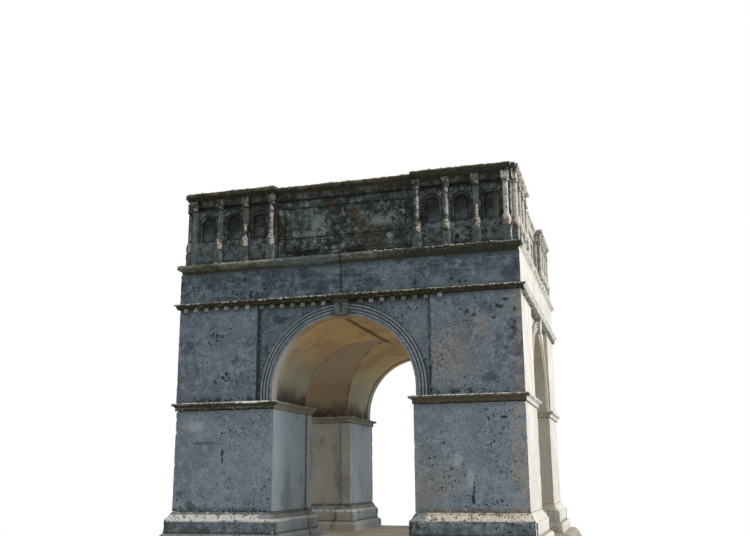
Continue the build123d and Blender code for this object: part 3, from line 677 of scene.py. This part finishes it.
def vault_finish():
    """Ochre-stained plaster, damp and grey at its foot, dirty along its groins."""
    site = Site("vault_plaster", 4.0, (200, 176, 130), (182, 166, 130))
    recipe = site.recipe
    sides = recipe.math("SUBTRACT", site.off_x, site.off_y)
    left_arm = site.all_of((sides, 0.0, 0.004), ("x", 0.1, -0.1))
    back_arm = site.all_of((sides, 0.0, -0.004), ("y", -0.1, 0.1))
    front_arm = site.all_of((sides, 0.0, -0.004), ("y", 0.1, -0.1))
    site.wash((196, 184, 152), ("mottle", 0.45, 0.72, 0.0, 0.35))
    site.wash((182, 172, 136), back_arm, 0.5)
    site.wash((204, 164, 106), ("z", Z_SPRING + 0.16, Z_SPRING + 0.29, 0.0, 0.65))
    # Painted light on the front arm, paler towards the crossing
    site.wash((222, 188, 130), front_arm, ("y", -0.60, -0.36, 0.0, 0.6),
              ("z", Z_SPRING + 0.12, Z_SPRING + 0.2))
    site.stains(5.0, 0.50, 0.62, 0.5, (166, 128, 98))
    # Grey haunches, the left arm browner and darker with painted shade, and damp feet
    site.wash((160, 160, 144), (site.noise(6.0, 4.0), 0.30, 0.52, 0.25, 0.85),
              ("z", Z_SPRING + 0.22, Z_SPRING + 0.10))
    site.wash(site.mixed(("z", Z_SPRING + 0.10, Z_SPRING + 0.22), (153, 131, 101),
                         (180, 157, 134)), left_arm, 0.85)
    site.wash((80, 80, 68), ("z", Z_UPPER + 0.11, Z_UPPER + 0.03, 0.0, 0.8), ("x", 0.2, 0.0),
              (site.noise(9.0, 5.0), 0.26, 0.56))
    site.wash((62, 60, 50), ("z", Z_UPPER + 0.060, Z_UPPER + 0.012, 0.0, 0.85),
              ("x", 0.1, -0.1), ("mottle", 0.30, 0.52))
    # Dark lines along the crown and groins, and a painted shadow line where the arches meet
    from_crown = recipe.math("ABSOLUTE", recipe.total(site.x, recipe.product(site.cloud, 0.030)))
    site.wash((92, 74, 40), (from_crown, 0.020, 0.004), ("y", 0.2, 0.0),
              ("z", Z_SPRING + 0.28, Z_SPRING + 0.30), 0.85, ("cloud", 0.30, 0.46))
    from_groin = recipe.math("SUBTRACT", site.outward, site.inward)
    site.wash((84, 76, 50), (from_groin, 0.014, 0.002, 0.0, 0.8),
              (site.noise(9.0, 4.0), 0.44, 0.58))
    site.wash((84, 70, 44), ("outward", VAULT_BACK - 0.008, VAULT_BACK - 0.001, 0.0, 0.6),
              ("y", 0.5, 0.3, 0.3, 1.0))
    site.height = recipe.total(recipe.product(site.speckle, 0.3), site.cloud)
    return site.finish(0.004, 0.92)


def rock_finish():
    """Pale rough-hewn stone of the stand."""
    site = Site("rough_stone", 3.5, (206, 197, 178), (178, 169, 150))
    rough = site.noise(22.0, 7.0, 0.72)
    site.wash((150, 143, 128), (rough, 0.50, 0.68, 0.0, 0.6))
    site.wash((220, 213, 196), ("arris", 0.3, 0.9, 0.0, 0.4))
    site.height = site.recipe.total(site.recipe.product(rough, 2.5), site.height)
    return site.finish(0.008, 0.93)


arch_stone = arch_finish()
dentil_stone = dentil_finish()
colonnette_stone = colonnette_finish()
impost_stone = moulding_finish(
    "impost_limestone", Z_UPPER, (92, 92, 80), (58, 56, 42), (120, 120, 108), (238, 234, 224),
    (52, 48, 34), right_tone=(77, 71, 56), by_passages=True)
dentil_course_stone = moulding_finish(
    "dentil_course_limestone", Z_FRIEZE, (72, 69, 54), (46, 43, 31), (94, 90, 74),
    (200, 194, 178), (40, 38, 24))
cornice_stone = moulding_finish(
    "cornice_limestone", Z_ATTIC, (108, 108, 93), (68, 66, 53), (132, 134, 122),
    (190, 186, 172), (40, 38, 27), line=0.005, face=0.030, right_tone=(40, 42, 34),
    overgrown=((-0.13, Z_ATTIC - 0.010, 0.17, 0.022),))
top_stone = moulding_finish(
    "attic_cornice_limestone", Z_TOP, (82, 77, 60), (50, 45, 31), (108, 103, 88),
    (176, 170, 156), (36, 32, 20), line=0.008, face=0.020, right_tone=(52, 50, 37),
    wall_below=Z_TOP_CORNICE)


# Copies of the solids, cut into small faces

def solid_mesh(node):
    """A merged copy of a solid's mesh, with each flat side as one face."""
    made = bmesh.new()
    made.from_mesh(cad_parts[node].data)
    bmesh.ops.remove_doubles(made, verts=made.verts, dist=MERGE_DISTANCE)
    bmesh.ops.dissolve_limit(made, angle_limit=FLAT_ANGLE, verts=made.verts, edges=made.edges)
    return made


def cut_across(made, axis, place):
    """Cuts every shown face by a plane across one axis."""
    normal = Vector([float(number == axis) for number in range(3)])
    shown = [face for face in made.faces if face.material_index == SHOWN]
    bmesh.ops.bisect_plane(made, geom=[*made.verts, *made.edges, *shown],
                           dist=CUT_DISTANCE, plane_co=normal * place, plane_no=normal)


def cut_off_below(made, level_kept):
    """Takes away what hangs lower than a level, and closes the holes that it leaves."""
    whole = [*made.verts, *made.edges, *made.faces]
    sliced = bmesh.ops.bisect_plane(made, geom=whole, clear_inner=True,
                                    dist=MERGE_DISTANCE, plane_co=(0, 0, level_kept), plane_no=(0, 0, 1))
    rims = [item for item in sliced["geom_cut"] if isinstance(item, bmesh.types.BMEdge)]
    bmesh.ops.holes_fill(made, edges=rims)
    bmesh.ops.recalc_face_normals(made, faces=made.faces)


def gridded(made, size):
    """Cuts every shown face into a grid of about the given size."""
    for axis in range(3):
        low = min(vert.co[axis] for vert in made.verts)
        high = max(vert.co[axis] for vert in made.verts)
        count = ceil((high - low) / size)
        for number in range(1, count):
            cut_across(made, axis, low + (high - low) * number / count)


def finer_at_arrises(made, rounds):
    """Halves the edges of the shown faces that touch an outward arris, once a round."""
    for _ in range(rounds):
        arrises = [edge for edge in made.edges if len(edge.link_faces) == 2
                   and edge.calc_face_angle_signed() > ARRIS_ANGLE]
        beside = {face for edge in arrises for vert in edge.verts for face in vert.link_faces
                  if face.material_index == SHOWN}
        long_edges = {edge for face in beside for edge in face.edges
                      if edge.calc_length() > SHORTEST_EDGE}
        bmesh.ops.subdivide_edges(made, edges=list(long_edges), cuts=1, use_grid_fill=True)


def round_again(made, inner, outer):
    """Moves the chords of the arches and barrels, which run both ways, out to true arcs."""
    for vert in made.verts:
        height = vert.co.z - Z_SPRING
        if height <= 0:
            continue
        for axis in (0, 1):
            reach = hypot(vert.co[axis], height)
            if inner * INSIDE_ARC < reach < outer * OUTSIDE_ARC:
                turn = atan2(height, vert.co[axis]) % CHORD_ANGLE - CHORD_ANGLE / 2
                growth = cos(turn) / cos(CHORD_ANGLE / 2)
                vert.co[axis] *= growth
                vert.co.z = Z_SPRING + height * growth


def object_from(made, name):
    mesh = bpy.data.meshes.new(name)
    made.to_mesh(mesh)
    made.free()
    piece = bpy.data.objects.new(name, mesh)
    bpy.context.scene.collection.objects.link(piece)
    return piece


# Geometry Nodes trees

WEAR_INPUTS = {
    "Chip reach": ("Float", 0.010),
    "Chip depth": ("Float", 0.005),
    "Chip size": ("Float", 0.022),
    "Chip share": ("Float", 0.5),
    "Unevenness": ("Float", 0.0008),
    "Groove reach": ("Float", 0.008),
    "Plain joints": ("Float", 0.0),
    "Plain within": ("Float", 0.0),
    "Arrises from": ("Float", 0.0),
    "Arrises to": ("Float", 10.0),
    "Sharp above": ("Float", radians(60)),
    "Seed": ("Int", 1),
    "Stone": ("Material", None),
}
ROW_INPUTS = {
    "Count": ("Int", 1),
    "First": ("Vector", (0.0, 0.0, 0.0)),
    "Step": ("Vector", (0.0, 0.0, 0.0)),
    "Turn": ("Float", 0.0),
}
COLONNETTE_INPUTS = {
    "Pedestal": ("Vector", PEDESTAL_SIZE),
    "Bulb radius": ("Float", BULB_RADIUS),
    "Bulb rise": ("Float", BULB_RISE),
    "Shaft radius": ("Float", SHAFT_RADIUS),
    "Shaft rise": ("Float", SHAFT_RISE),
    "Kept": ("Float", WHOLE),
    "Ring radius": ("Float", RING_RADIUS),
    "Ring rise": ("Float", RING_RISE),
    "Block": ("Vector", BLOCK_SIZE),
    "Scar width": ("Float", SCAR_WIDTH),
}


def tree_with(name, inputs):
    """A tree with named inputs: its recipe and its input sockets."""
    tree = bpy.data.node_groups.new(name, "GeometryNodeTree")
    for way in ("INPUT", "OUTPUT"):
        tree.interface.new_socket(name="Geometry", in_out=way,
                                  socket_type="NodeSocketGeometry")
    for label, (kind, value) in inputs.items():
        socket = tree.interface.new_socket(name=label, in_out="INPUT",
                                           socket_type="NodeSocket" + kind)
        if value is not None:
            socket.default_value = value
    recipe = Recipe(tree)
    return recipe, recipe.add("NodeGroupInput").outputs


def deliver(recipe, given, geometry):
    """Ends a tree: real geometry, in its stone."""
    whole = recipe.out("GeometryNodeRealizeInstances", {"Geometry": geometry})
    dressed = recipe.out("GeometryNodeSetMaterial", {
        "Geometry": whole, "Material": given["Stone"]})
    recipe.add("NodeGroupOutput", {"Geometry": dressed})
    return recipe.tree


def run(tree, piece, **values):
    """Runs a tree on a piece and keeps what it makes as the piece's own plain mesh.

    An input is named by its label in lower case, with underscores for spaces.
    """
    modifier = piece.modifiers.new(tree.name, "NODES")
    modifier.node_group = tree
    for item in tree.interface.items_tree:
        key = item.name.lower().replace(" ", "_")
        if item.in_out == "INPUT" and key in values:
            modifier[item.identifier] = values[key]
    graph = bpy.context.evaluated_depsgraph_get()
    grown = bpy.data.meshes.new_from_object(
        piece.evaluated_get(graph), preserve_all_data_layers=True, depsgraph=graph)
    piece.modifiers.clear()
    piece.data = grown


def closeness(recipe, geometry, chosen, reach):
    """One at the chosen edges, falling to nothing at the reach; nothing without such edges."""
    edges = recipe.out("GeometryNodeSeparateGeometry", {
        "Geometry": geometry, "Selection": chosen}, domain="EDGE")
    near = recipe.add("GeometryNodeProximity", {"Geometry": edges}, target_element="EDGES")
    return recipe.product(recipe.share(near.outputs["Distance"], reach, 0.0),
                          near.outputs["Is Valid"])


def wear(recipe, given, geometry):
    """Chips the convex arrises of a geometry, wears its faces and marks arrises and grooves."""
    place = recipe.out("GeometryNodeInputPosition")
    normal = recipe.out("GeometryNodeInputNormal")
    angles = recipe.add("GeometryNodeInputMeshEdgeAngle").outputs
    x, y, z = recipe.parts(place)
    from_middle = [recipe.math("ABSOLUTE", value) for value in (x, y)]
    is_arris = recipe.product(
        recipe.math("GREATER_THAN", angles["Signed Angle"], ARRIS_ANGLE),
        recipe.math("GREATER_THAN", recipe.math("MINIMUM", *from_middle),
                    given["Plain joints"]),
        recipe.math("GREATER_THAN", z, given["Arrises from"]),
        recipe.math("LESS_THAN", z, given["Arrises to"]))
    is_groove = recipe.math("LESS_THAN", angles["Signed Angle"], -ARRIS_ANGLE)
    arris = closeness(recipe, geometry, is_arris, given["Chip reach"])
    groove = closeness(recipe, geometry, is_groove, given["Groove reach"])
    drift = recipe.scaled((0.37, 0.61, 0.83), given["Seed"])
    seeded = recipe.vectors("ADD", place, drift)
    coarse = recipe.noise(seeded, recipe.math("DIVIDE", 1.0, given["Chip size"]), 4.0, 0.7)
    threshold = recipe.math("SUBTRACT", 0.66, recipe.product(given["Chip share"], 0.3))
    bites = recipe.share(coarse, threshold, recipe.total(threshold, 0.16))
    rubbed = recipe.total(recipe.product(bites, 0.8), recipe.product(coarse, 0.2))
    chip = recipe.product(arris, rubbed, given["Chip depth"])
    waves = recipe.product(recipe.noise(seeded, 14.0, 5.0, 0.6), given["Unevenness"])
    outside = recipe.share(recipe.math("MAXIMUM", *from_middle), given["Plain within"],
                           recipe.total(given["Plain within"], PLAIN_FADE))
    outwards = recipe.product(recipe.total(chip, waves), outside, -1.0)
    worn = recipe.out("GeometryNodeSetPosition", {
        "Geometry": geometry, "Offset": recipe.scaled(normal, outwards)})
    for name, value in (("arris", arris), ("groove", groove)):
        worn = recipe.out("GeometryNodeStoreNamedAttribute", {
            "Geometry": worn, "Name": name, "Value": value}, data_type="FLOAT", domain="POINT")
    smooth = recipe.out("GeometryNodeSetShadeSmooth", {"Geometry": worn}, domain="FACE")
    sharp = recipe.math("GREATER_THAN", angles["Unsigned Angle"], given["Sharp above"])
    return recipe.out("GeometryNodeSetShadeSmooth", {
        "Geometry": smooth, "Selection": sharp, "Shade Smooth": False}, domain="EDGE")


def weathering_tree():
    """Wears a piece that is already there."""
    recipe, given = tree_with("weathering", WEAR_INPUTS)
    return deliver(recipe, given, wear(recipe, given, given["Geometry"]))


def row_tree(name, sizes, shape):
    """Repeats a shape along a straight row on the front, turns the row to its side, wears it
    and adds it to the rows that are already there."""
    recipe, given = tree_with(name, {**ROW_INPUTS, **sizes, **WEAR_INPUTS})
    line = recipe.out("GeometryNodeMeshLine", {
        "Count": given["Count"], "Start Location": given["First"], "Offset": given["Step"]})
    row = recipe.out("GeometryNodeInstanceOnPoints", {
        "Points": line, "Instance": shape(recipe, given)})
    whole = recipe.out("GeometryNodeRealizeInstances", {"Geometry": row})
    turned = recipe.out("GeometryNodeTransform", {
        "Geometry": whole, "Rotation": recipe.at(z=given["Turn"])})
    return deliver(recipe, given, recipe.joined(given["Geometry"], wear(recipe, given, turned)))


def dentil(recipe, given):
    return recipe.block(given["Size"], (0.0, 0.0, 0.0), DENTIL_CUTS)


def colonnette(recipe, given):
    """Pedestal, turned bulb and shaft, then ring and block at the top. Where less than the
    whole shaft is kept, it is broken off, and the rest is a flat scar on the wall."""
    foot = recipe.parts(given["Pedestal"])["Z"]
    kept_rise = recipe.product(given["Shaft rise"], given["Kept"])
    turned_rise = recipe.total(given["Bulb rise"], kept_rise)
    top = recipe.total(foot, recipe.total(given["Bulb rise"], given["Shaft rise"]))
    y_face = SHAFT_STANDS_OFF - PEDESTAL_SIZE[1]
    pedestal = recipe.block(
        given["Pedestal"],
        recipe.at(y=y_face + PEDESTAL_SIZE[1] / 2, z=recipe.product(foot, 0.5)), PEDESTAL_CUTS)
    ring = recipe.placed(
        recipe.out("GeometryNodeMeshCylinder", {
            "Vertices": TURNED_SIDES, "Side Segments": 3, "Fill Segments": 2,
            "Radius": given["Ring radius"], "Depth": given["Ring rise"]}),
        recipe.at(z=recipe.total(top, recipe.product(given["Ring rise"], 0.5))))
    block_rise = recipe.parts(given["Block"])["Z"]
    block_middle = recipe.total(recipe.total(top, given["Ring rise"]),
                                recipe.product(block_rise, 0.5))
    block = recipe.block(given["Block"], recipe.at(y=y_face + BLOCK_SIZE[1] / 2, z=block_middle),
                         BLOCK_CUTS)
    stands = recipe.math("GREATER_THAN", given["Kept"], GONE / 2)
    standing = recipe.chosen(stands, recipe.joined(
        pedestal, turned_part(recipe, given, foot, turned_rise)))
    left_to = recipe.product(recipe.total(foot, turned_rise), stands)
    scar_rise = recipe.math("MAXIMUM", recipe.math("SUBTRACT", top, left_to), LEAST_SCAR)
    scar_middle = recipe.math("SUBTRACT", top, recipe.product(scar_rise, 0.5))
    scar = recipe.block(recipe.at(given["Scar width"], 2 * SCAR_PROUD, scar_rise),
                        recipe.at(y=SHAFT_STANDS_OFF, z=scar_middle), SCAR_CUTS)
    broken_off = recipe.math("LESS_THAN", given["Kept"], 0.999)
    return recipe.joined(standing, ring, block, recipe.chosen(broken_off, scar))


def turned_part(recipe, given, foot, rise):
    """Bulb and shaft: a tube whose radius follows its height above the pedestal."""
    tube = recipe.out("GeometryNodeMeshCylinder", {
        "Vertices": TURNED_SIDES, "Side Segments": TURNED_ROWS, "Fill Segments": 3,
        "Radius": 1.0, "Depth": rise})
    x, y, z = recipe.parts(recipe.out("GeometryNodeInputPosition"))
    height = recipe.total(z, recipe.product(rise, 0.5))
    along_bulb = recipe.math("MINIMUM", recipe.math("DIVIDE", height, given["Bulb rise"]), 1.0)
    arc = recipe.math("SINE", recipe.product(along_bulb, pi))
    swell = recipe.math("POWER", recipe.math("MAXIMUM", arc, 0.0), 0.8)
    neck = recipe.product(given["Bulb radius"], NECK_SHARE)
    bulb = recipe.total(neck, recipe.product(
        swell, recipe.math("SUBTRACT", given["Bulb radius"], neck)))
    past_bulb = recipe.share(height, given["Bulb rise"],
                             recipe.total(given["Bulb rise"], SHAFT_EASE))
    radius = recipe.out("ShaderNodeMix", {0: past_bulb, 2: bulb, 3: given["Shaft radius"]},
                        data_type="FLOAT")
    spread = recipe.at(recipe.product(x, radius), recipe.product(y, radius),
                       recipe.total(height, foot))
    return recipe.out("GeometryNodeSetPosition", {"Geometry": tube, "Position": spread})


weathering = weathering_tree()
dentil_row = row_tree("dentil_row", {"Size": ("Vector", DENTIL_SIZE)}, dentil)
colonnette_row = row_tree("colonnette_row", COLONNETTE_INPUTS, colonnette)


# Which faces of a copy are out of sight and stay uncut

def level(face):
    return abs(face.normal.z) > LEVEL


def on_plane(face, axis, place):
    return (abs(face.normal[axis]) > LEVEL
            and abs(face.calc_center_bounds()[axis] - place) < SLACK)


def on_middle_planes(face):
    return on_plane(face, 0, 0.0) or on_plane(face, 1, 0.0)


def none_buried(face):
    return False


def quarter_buried(face):
    return level(face) or on_middle_planes(face)


def arch_buried(face):
    at_top = level(face) and face.normal.z > 0
    at_side = (abs(face.normal.x) > LEVEL
               and abs(face.calc_center_bounds().x) > PANEL_HALF - SLACK)
    return at_top or at_side or on_plane(face, 1, -RING_BACK)


def vault_buried(face):
    middle = face.calc_center_bounds()
    inside = max(abs(middle.x), abs(middle.y)) < RING_BACK - SLACK and middle.z < Z_DENTIL - SLACK
    edge_of_arm = abs(middle.x) > PANEL_HALF - SLACK and abs(middle.y) > PANEL_HALF - SLACK
    return level(face) or not inside or edge_of_arm


def course_buried(face):
    middle = face.calc_center_bounds()
    deep = max(abs(middle.x), abs(middle.y)) < COURSE_CORE
    return level(face) and deep or on_plane(face, 0, 0.0)


# Pieces: one master a family is cut, then copied to each place, worn and tied to the object

def master_copy(node, buried, size=FACE_SIZE, rings=(), foot=None, arc=None, rounds=2):
    """A copy of a node's solid, ready for weathering."""
    made = solid_mesh(node)
    for axis in (0, 1):
        for place in rings:
            for side in (-place, place):
                cut_across(made, axis, side)
    if foot is not None:
        cut_off_below(made, foot)
    gridded(made, BURIED_FACE_SIZE)
    made.normal_update()
    for face in made.faces:
        face.material_index = BURIED if buried(face) else SHOWN
    gridded(made, size * (1.0))
    finer_at_arrises(made, rounds)
    if arc:
        round_again(made, *arc)
    return made


def turned_copy(master, angle, name):
    made = master.copy()
    bmesh.ops.rotate(made, verts=made.verts, matrix=Matrix.Rotation(angle, 3, "Z"))
    return object_from(made, name)


def put_on(piece, slot, *nodes):
    """Ties a finished piece to the object: it rides on the body and stands for its nodes."""
    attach(piece, "root")
    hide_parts(*nodes)


def chips(reach, depth, size=0.022, share=0.5):
    return {"chip_reach": reach, "chip_depth": depth, "chip_size": size, "chip_share": share}


def between(low, high):
    """Keeps the arrises plain on the joints at two levels."""
    return {"arrises_from": low + SLACK, "arrises_to": high - SLACK}


CORNER_TURNS = {"back_right": 0, "back_left": 90, "front_left": 180, "front_right": 270}
FACE_TURNS = {"front": 0, "right": 90, "back": 180, "left": 270}
HALF_TURNS = {"right": 0, "left": 180}
ONE_PLACE = {"": 0}

# Each family of pieces: its nodes' places, how its master is cut, its finish, slot and wear
FAMILIES = {
    "stand_block": (
        ONE_PLACE, {"buried": none_buried, "size": STAND_FACE_SIZE, "rounds": 1},
        rock_finish(), "rough_stone",
        {**chips(0.035, 0.009, 0.07, 0.9), "unevenness": 0.006, "plain_within": 0.78,
         "arrises_from": 0.01}),
    "plinth": (
        CORNER_TURNS, {"buried": level}, plinth_finish(), "pier_stone",
        {**chips(0.014, 0.009, 0.03, 0.9), **between(Z_SLAB, Z_SHAFT), "unevenness": 0.002}),
    "pier": (
        CORNER_TURNS, {"buried": level}, pier_finish(), "pier_stone",
        {**chips(0.014, 0.004, 0.03), **between(Z_SHAFT, Z_IMPOST), "unevenness": 0.0015}),
    "impost": (
        CORNER_TURNS, {"buried": none_buried}, impost_stone, "moulding_stone",
        chips(0.008, 0.007, 0.014, 0.9)),
    "upper_pier": (
        CORNER_TURNS, {"buried": level}, upper_finish(), "pier_stone",
        {**chips(0.008, 0.003, 0.03), **between(Z_UPPER, Z_DENTIL), "unevenness": 0.0015}),
    "arch": (
        FACE_TURNS, {"buried": arch_buried, "arc": (ARCH_RADIUS, ARCHIVOLT_RADIUS)},
        arch_stone, "pier_stone",
        {**chips(0.004, 0.0015, 0.012), **between(Z_UPPER, Z_DENTIL), "groove_reach": 0.005}),
    "keystone": (
        FACE_TURNS, {"buried": none_buried}, arch_stone, "pier_stone",
        {**chips(0.007, 0.005, 0.016, 0.9), "arrises_to": Z_DENTIL - SLACK}),
    "groin_vault": (
        ONE_PLACE, {"buried": vault_buried, "arc": (VAULT_RADIUS, VAULT_RADIUS)},
        vault_finish(), "vault_plaster",
        {**chips(0.006, 0.003), **between(Z_UPPER, Z_DENTIL), "unevenness": 0.002}),
    "dentil_cornice": (
        HALF_TURNS, {"buried": course_buried, "rings": (COURSE_CORE,),
                     "foot": Z_DENTIL + COURSE_FOOT_RAISED},
        dentil_course_stone, "moulding_stone",
        {**chips(0.008, 0.007, 0.014, 0.9), "plain_joints": SLACK}),
    "frieze": (
        HALF_TURNS, {"buried": quarter_buried}, frieze_finish(), "pier_stone",
        {**chips(0.010, 0.004, 0.03), **between(Z_FRIEZE, Z_MAIN)}),
    "main_cornice": (
        HALF_TURNS, {"buried": course_buried, "rings": (COURSE_CORE,)},
        cornice_stone, "moulding_stone",
        {**chips(0.012, 0.011, 0.02, 1.0), "arrises_from": Z_MAIN + SLACK}),
    "attic": (
        CORNER_TURNS, {"buried": quarter_buried}, attic_finish(), "attic_stone",
        {**chips(0.007, 0.004, 0.016, 0.8), **between(Z_ATTIC, Z_ARCHITRAVE),
         "plain_joints": SLACK}),
    "attic_cornice": (
        CORNER_TURNS, {"buried": on_middle_planes}, top_stone, "moulding_stone",
        {**chips(0.012, 0.009, 0.024, 0.9), "plain_joints": SLACK}),
}

for family_number, (family, described) in enumerate(FAMILIES.items()):
    places, cutting, finish, slot, worn = described
    nodes = [f"{family}_{place}" if place else family for place in places]
    master = master_copy(nodes[0], **cutting)
    for place_number, (node, angle) in enumerate(zip(nodes, places.values())):
        piece = turned_copy(master, radians(angle), f"{node}_dressed")
        run(weathering, piece, **worn, stone=finish, seed=10 * family_number + place_number)
        put_on(piece, slot, node)
    master.free()


# Dentils that hang under the cornice, in rows

def row_places(first, pitch, stop):
    return first, pitch, int((first - stop) / pitch) + 1


def hang_dentils(piece, turn, side, rows, seed):
    """Adds rows of dentils to a piece, on the half face at the given side of its middle."""
    for (first, pitch, count), wall in rows:
        start = (side * first, -wall - DENTIL_MIDDLE_OUT, Z_DENTIL - DENTIL_MIDDLE_DOWN)
        run(dentil_row, piece, count=count, first=start, step=(-side * pitch, 0.0, 0.0),
            turn=radians(turn), **chips(0.006, 0.002, 0.010, 0.6), seed=seed,
            stone=dentil_stone)


pier_row = row_places(*PIER_DENTILS)
panel_row = row_places(*PANEL_DENTILS)
last_on_pier = (pier_row[0] - (pier_row[2] - 1) * pier_row[1], pier_row[1], 1)
whole_rows = ((pier_row, UPPER_PLANE), (panel_row, PANEL_PLANE))
broken_rows = ((last_on_pier, UPPER_PLANE), (panel_row, PANEL_PLANE))
for half, side in (("right", 1), ("left", -1)):
    piece = object_from(bmesh.new(), f"dentils_{half}")
    front_rows = broken_rows if half == "right" else whole_rows
    hang_dentils(piece, FACE_TURNS["front"], side, front_rows, 11)
    hang_dentils(piece, FACE_TURNS["back"], -side, whole_rows, 12)
    for flank_side in (1, -1):
        hang_dentils(piece, FACE_TURNS[half], flank_side, whole_rows, 13)
    put_on(piece, "moulding_stone", f"dentil_cornice_{half}")


# Colonnettes of the attic's corner bays

def stand_colonnettes(piece, turn, side, shares, seed):
    """Adds a bay's colonnettes, grouped with neighbours that are kept alike."""
    outermost = BAY_PLANE - COLONNETTE_END
    pitch = (BAY_WIDTH - 2 * COLONNETTE_END) / (COLONNETTES_PER_BAY - 1)
    number = 0
    for kept, group in groupby(shares):
        count = len(list(group))
        start = (side * (outermost - number * pitch), -BAY_PLANE - SHAFT_STANDS_OFF, Z_ATTIC)
        run(colonnette_row, piece, count=count, first=start, step=(-side * pitch, 0.0, 0.0),
            turn=radians(turn), kept=kept, **chips(0.005, 0.003, 0.012, 0.8),
            seed=seed + number, stone=colonnette_stone)
        number += count


all_whole = (WHOLE,) * COLONNETTES_PER_BAY
for corner_number, (corner, angle) in enumerate(CORNER_TURNS.items()):
    piece = object_from(bmesh.new(), f"colonnettes_{corner}_dressed")
    on_back = FRONT_LEFT_SHAFTS if corner == "front_left" else all_whole
    on_right = FRONT_RIGHT_SHAFTS if corner == "front_right" else all_whole
    seed = 20 * corner_number
    stand_colonnettes(piece, FACE_TURNS["back"] + angle, -1, on_back, seed)
    stand_colonnettes(piece, FACE_TURNS["right"] + angle, 1, on_right, seed + 10)
    put_on(piece, "attic_stone", f"colonnettes_{corner}")


# Stage: floor, light and camera

def mixed_shaders(recipe, end, factor, first, second):
    """Ends a recipe with two shaders, the second as strong as the factor."""
    mixed = recipe.out("ShaderNodeMixShader", {0: factor, 1: first, 2: second})
    recipe.add(end, {"Surface": mixed})


def seen_directly(recipe):
    """One for what the camera sees, straight or through glossy and clear surfaces."""
    rays = recipe.add("ShaderNodeLightPath").outputs
    seen = recipe.math("MAXIMUM", rays["Is Camera Ray"], rays["Is Glossy Ray"])
    return recipe.math("MAXIMUM", seen, rays["Is Transmission Ray"])


FLOOR_HALF = 15.0
FLOOR_NEAR, FLOOR_FAR = 1.2, 3.8
NEAR_WHITENED = 0.4
WHITE = (1.0, 1.0, 1.0, 1.0)
FILL_STRENGTH = 0.85
KEY_PLACE, KEY_TARGET = Vector((4.5, -1.0, 3.0)), Vector((0.0, 0.0, 1.1))
KEY_SIZE, KEY_POWER = 2.5, 104.0

bpy.ops.mesh.primitive_plane_add(size=2 * FLOOR_HALF)
floor = bpy.context.object
floor.name = "floor"
floor_finish = bpy.data.materials.new("pale_floor")
ground = recipe_of(floor_finish)
from_object = ground.add("ShaderNodeVectorMath", {
    0: ground.add("ShaderNodeTexCoord").outputs["Object"]}, operation="LENGTH").outputs["Value"]
whitened = ground.share(from_object, FLOOR_NEAR, FLOOR_FAR, NEAR_WHITENED, 1.0)
mixed_shaders(ground, "ShaderNodeOutputMaterial",
              ground.product(seen_directly(ground), whitened),
              ground.out("ShaderNodeBsdfDiffuse", {"Color": (0.75, 0.75, 0.74, 1.0)}),
              ground.out("ShaderNodeEmission", {"Color": WHITE}))
floor.data.materials.append(floor_finish)

world = bpy.data.worlds.new("studio")
bpy.context.scene.world = world
sky = recipe_of(world)
mixed_shaders(sky, "ShaderNodeOutputWorld", seen_directly(sky),
              sky.out("ShaderNodeBackground", {
                  "Color": (0.94, 0.97, 1.0, 1.0), "Strength": FILL_STRENGTH}),
              sky.out("ShaderNodeBackground", {"Color": WHITE, "Strength": 1.0}))

key = bpy.data.lights.new("key", "AREA")
key.shape = "DISK"
key.size = KEY_SIZE
key.energy = KEY_POWER
key.color = (1.0, 0.95, 0.86)
key_lamp = bpy.data.objects.new("key", key)
bpy.context.scene.collection.objects.link(key_lamp)
key_lamp.location = KEY_PLACE
key_lamp.rotation_euler = (KEY_TARGET - KEY_PLACE).to_track_quat("-Z", "Y").to_euler()

# Camera, solved from the model's own right angles
CAMERA_PLACE = (1.0777, -3.9867, 0.5605)
YAW, PITCH, ROLL = radians(-15.97), radians(13.67), radians(-0.45)
forward = Vector((sin(YAW) * cos(PITCH), cos(YAW) * cos(PITCH), sin(PITCH)))
level_right = forward.cross(Vector((0, 0, 1))).normalized()
right = level_right * cos(ROLL) + level_right.cross(forward) * sin(ROLL)
up = right.cross(forward)
camera = bpy.data.objects.new("camera", bpy.data.cameras.new("camera"))
bpy.context.scene.collection.objects.link(camera)
camera.data.sensor_width = 36.0
camera.data.lens = 41.24
facing = Matrix((right, up, -forward)).transposed().to_4x4()
camera.matrix_world = Matrix.Translation(CAMERA_PLACE) @ facing
bpy.context.scene.camera = camera
bpy.context.scene.view_settings.view_transform = "Standard"
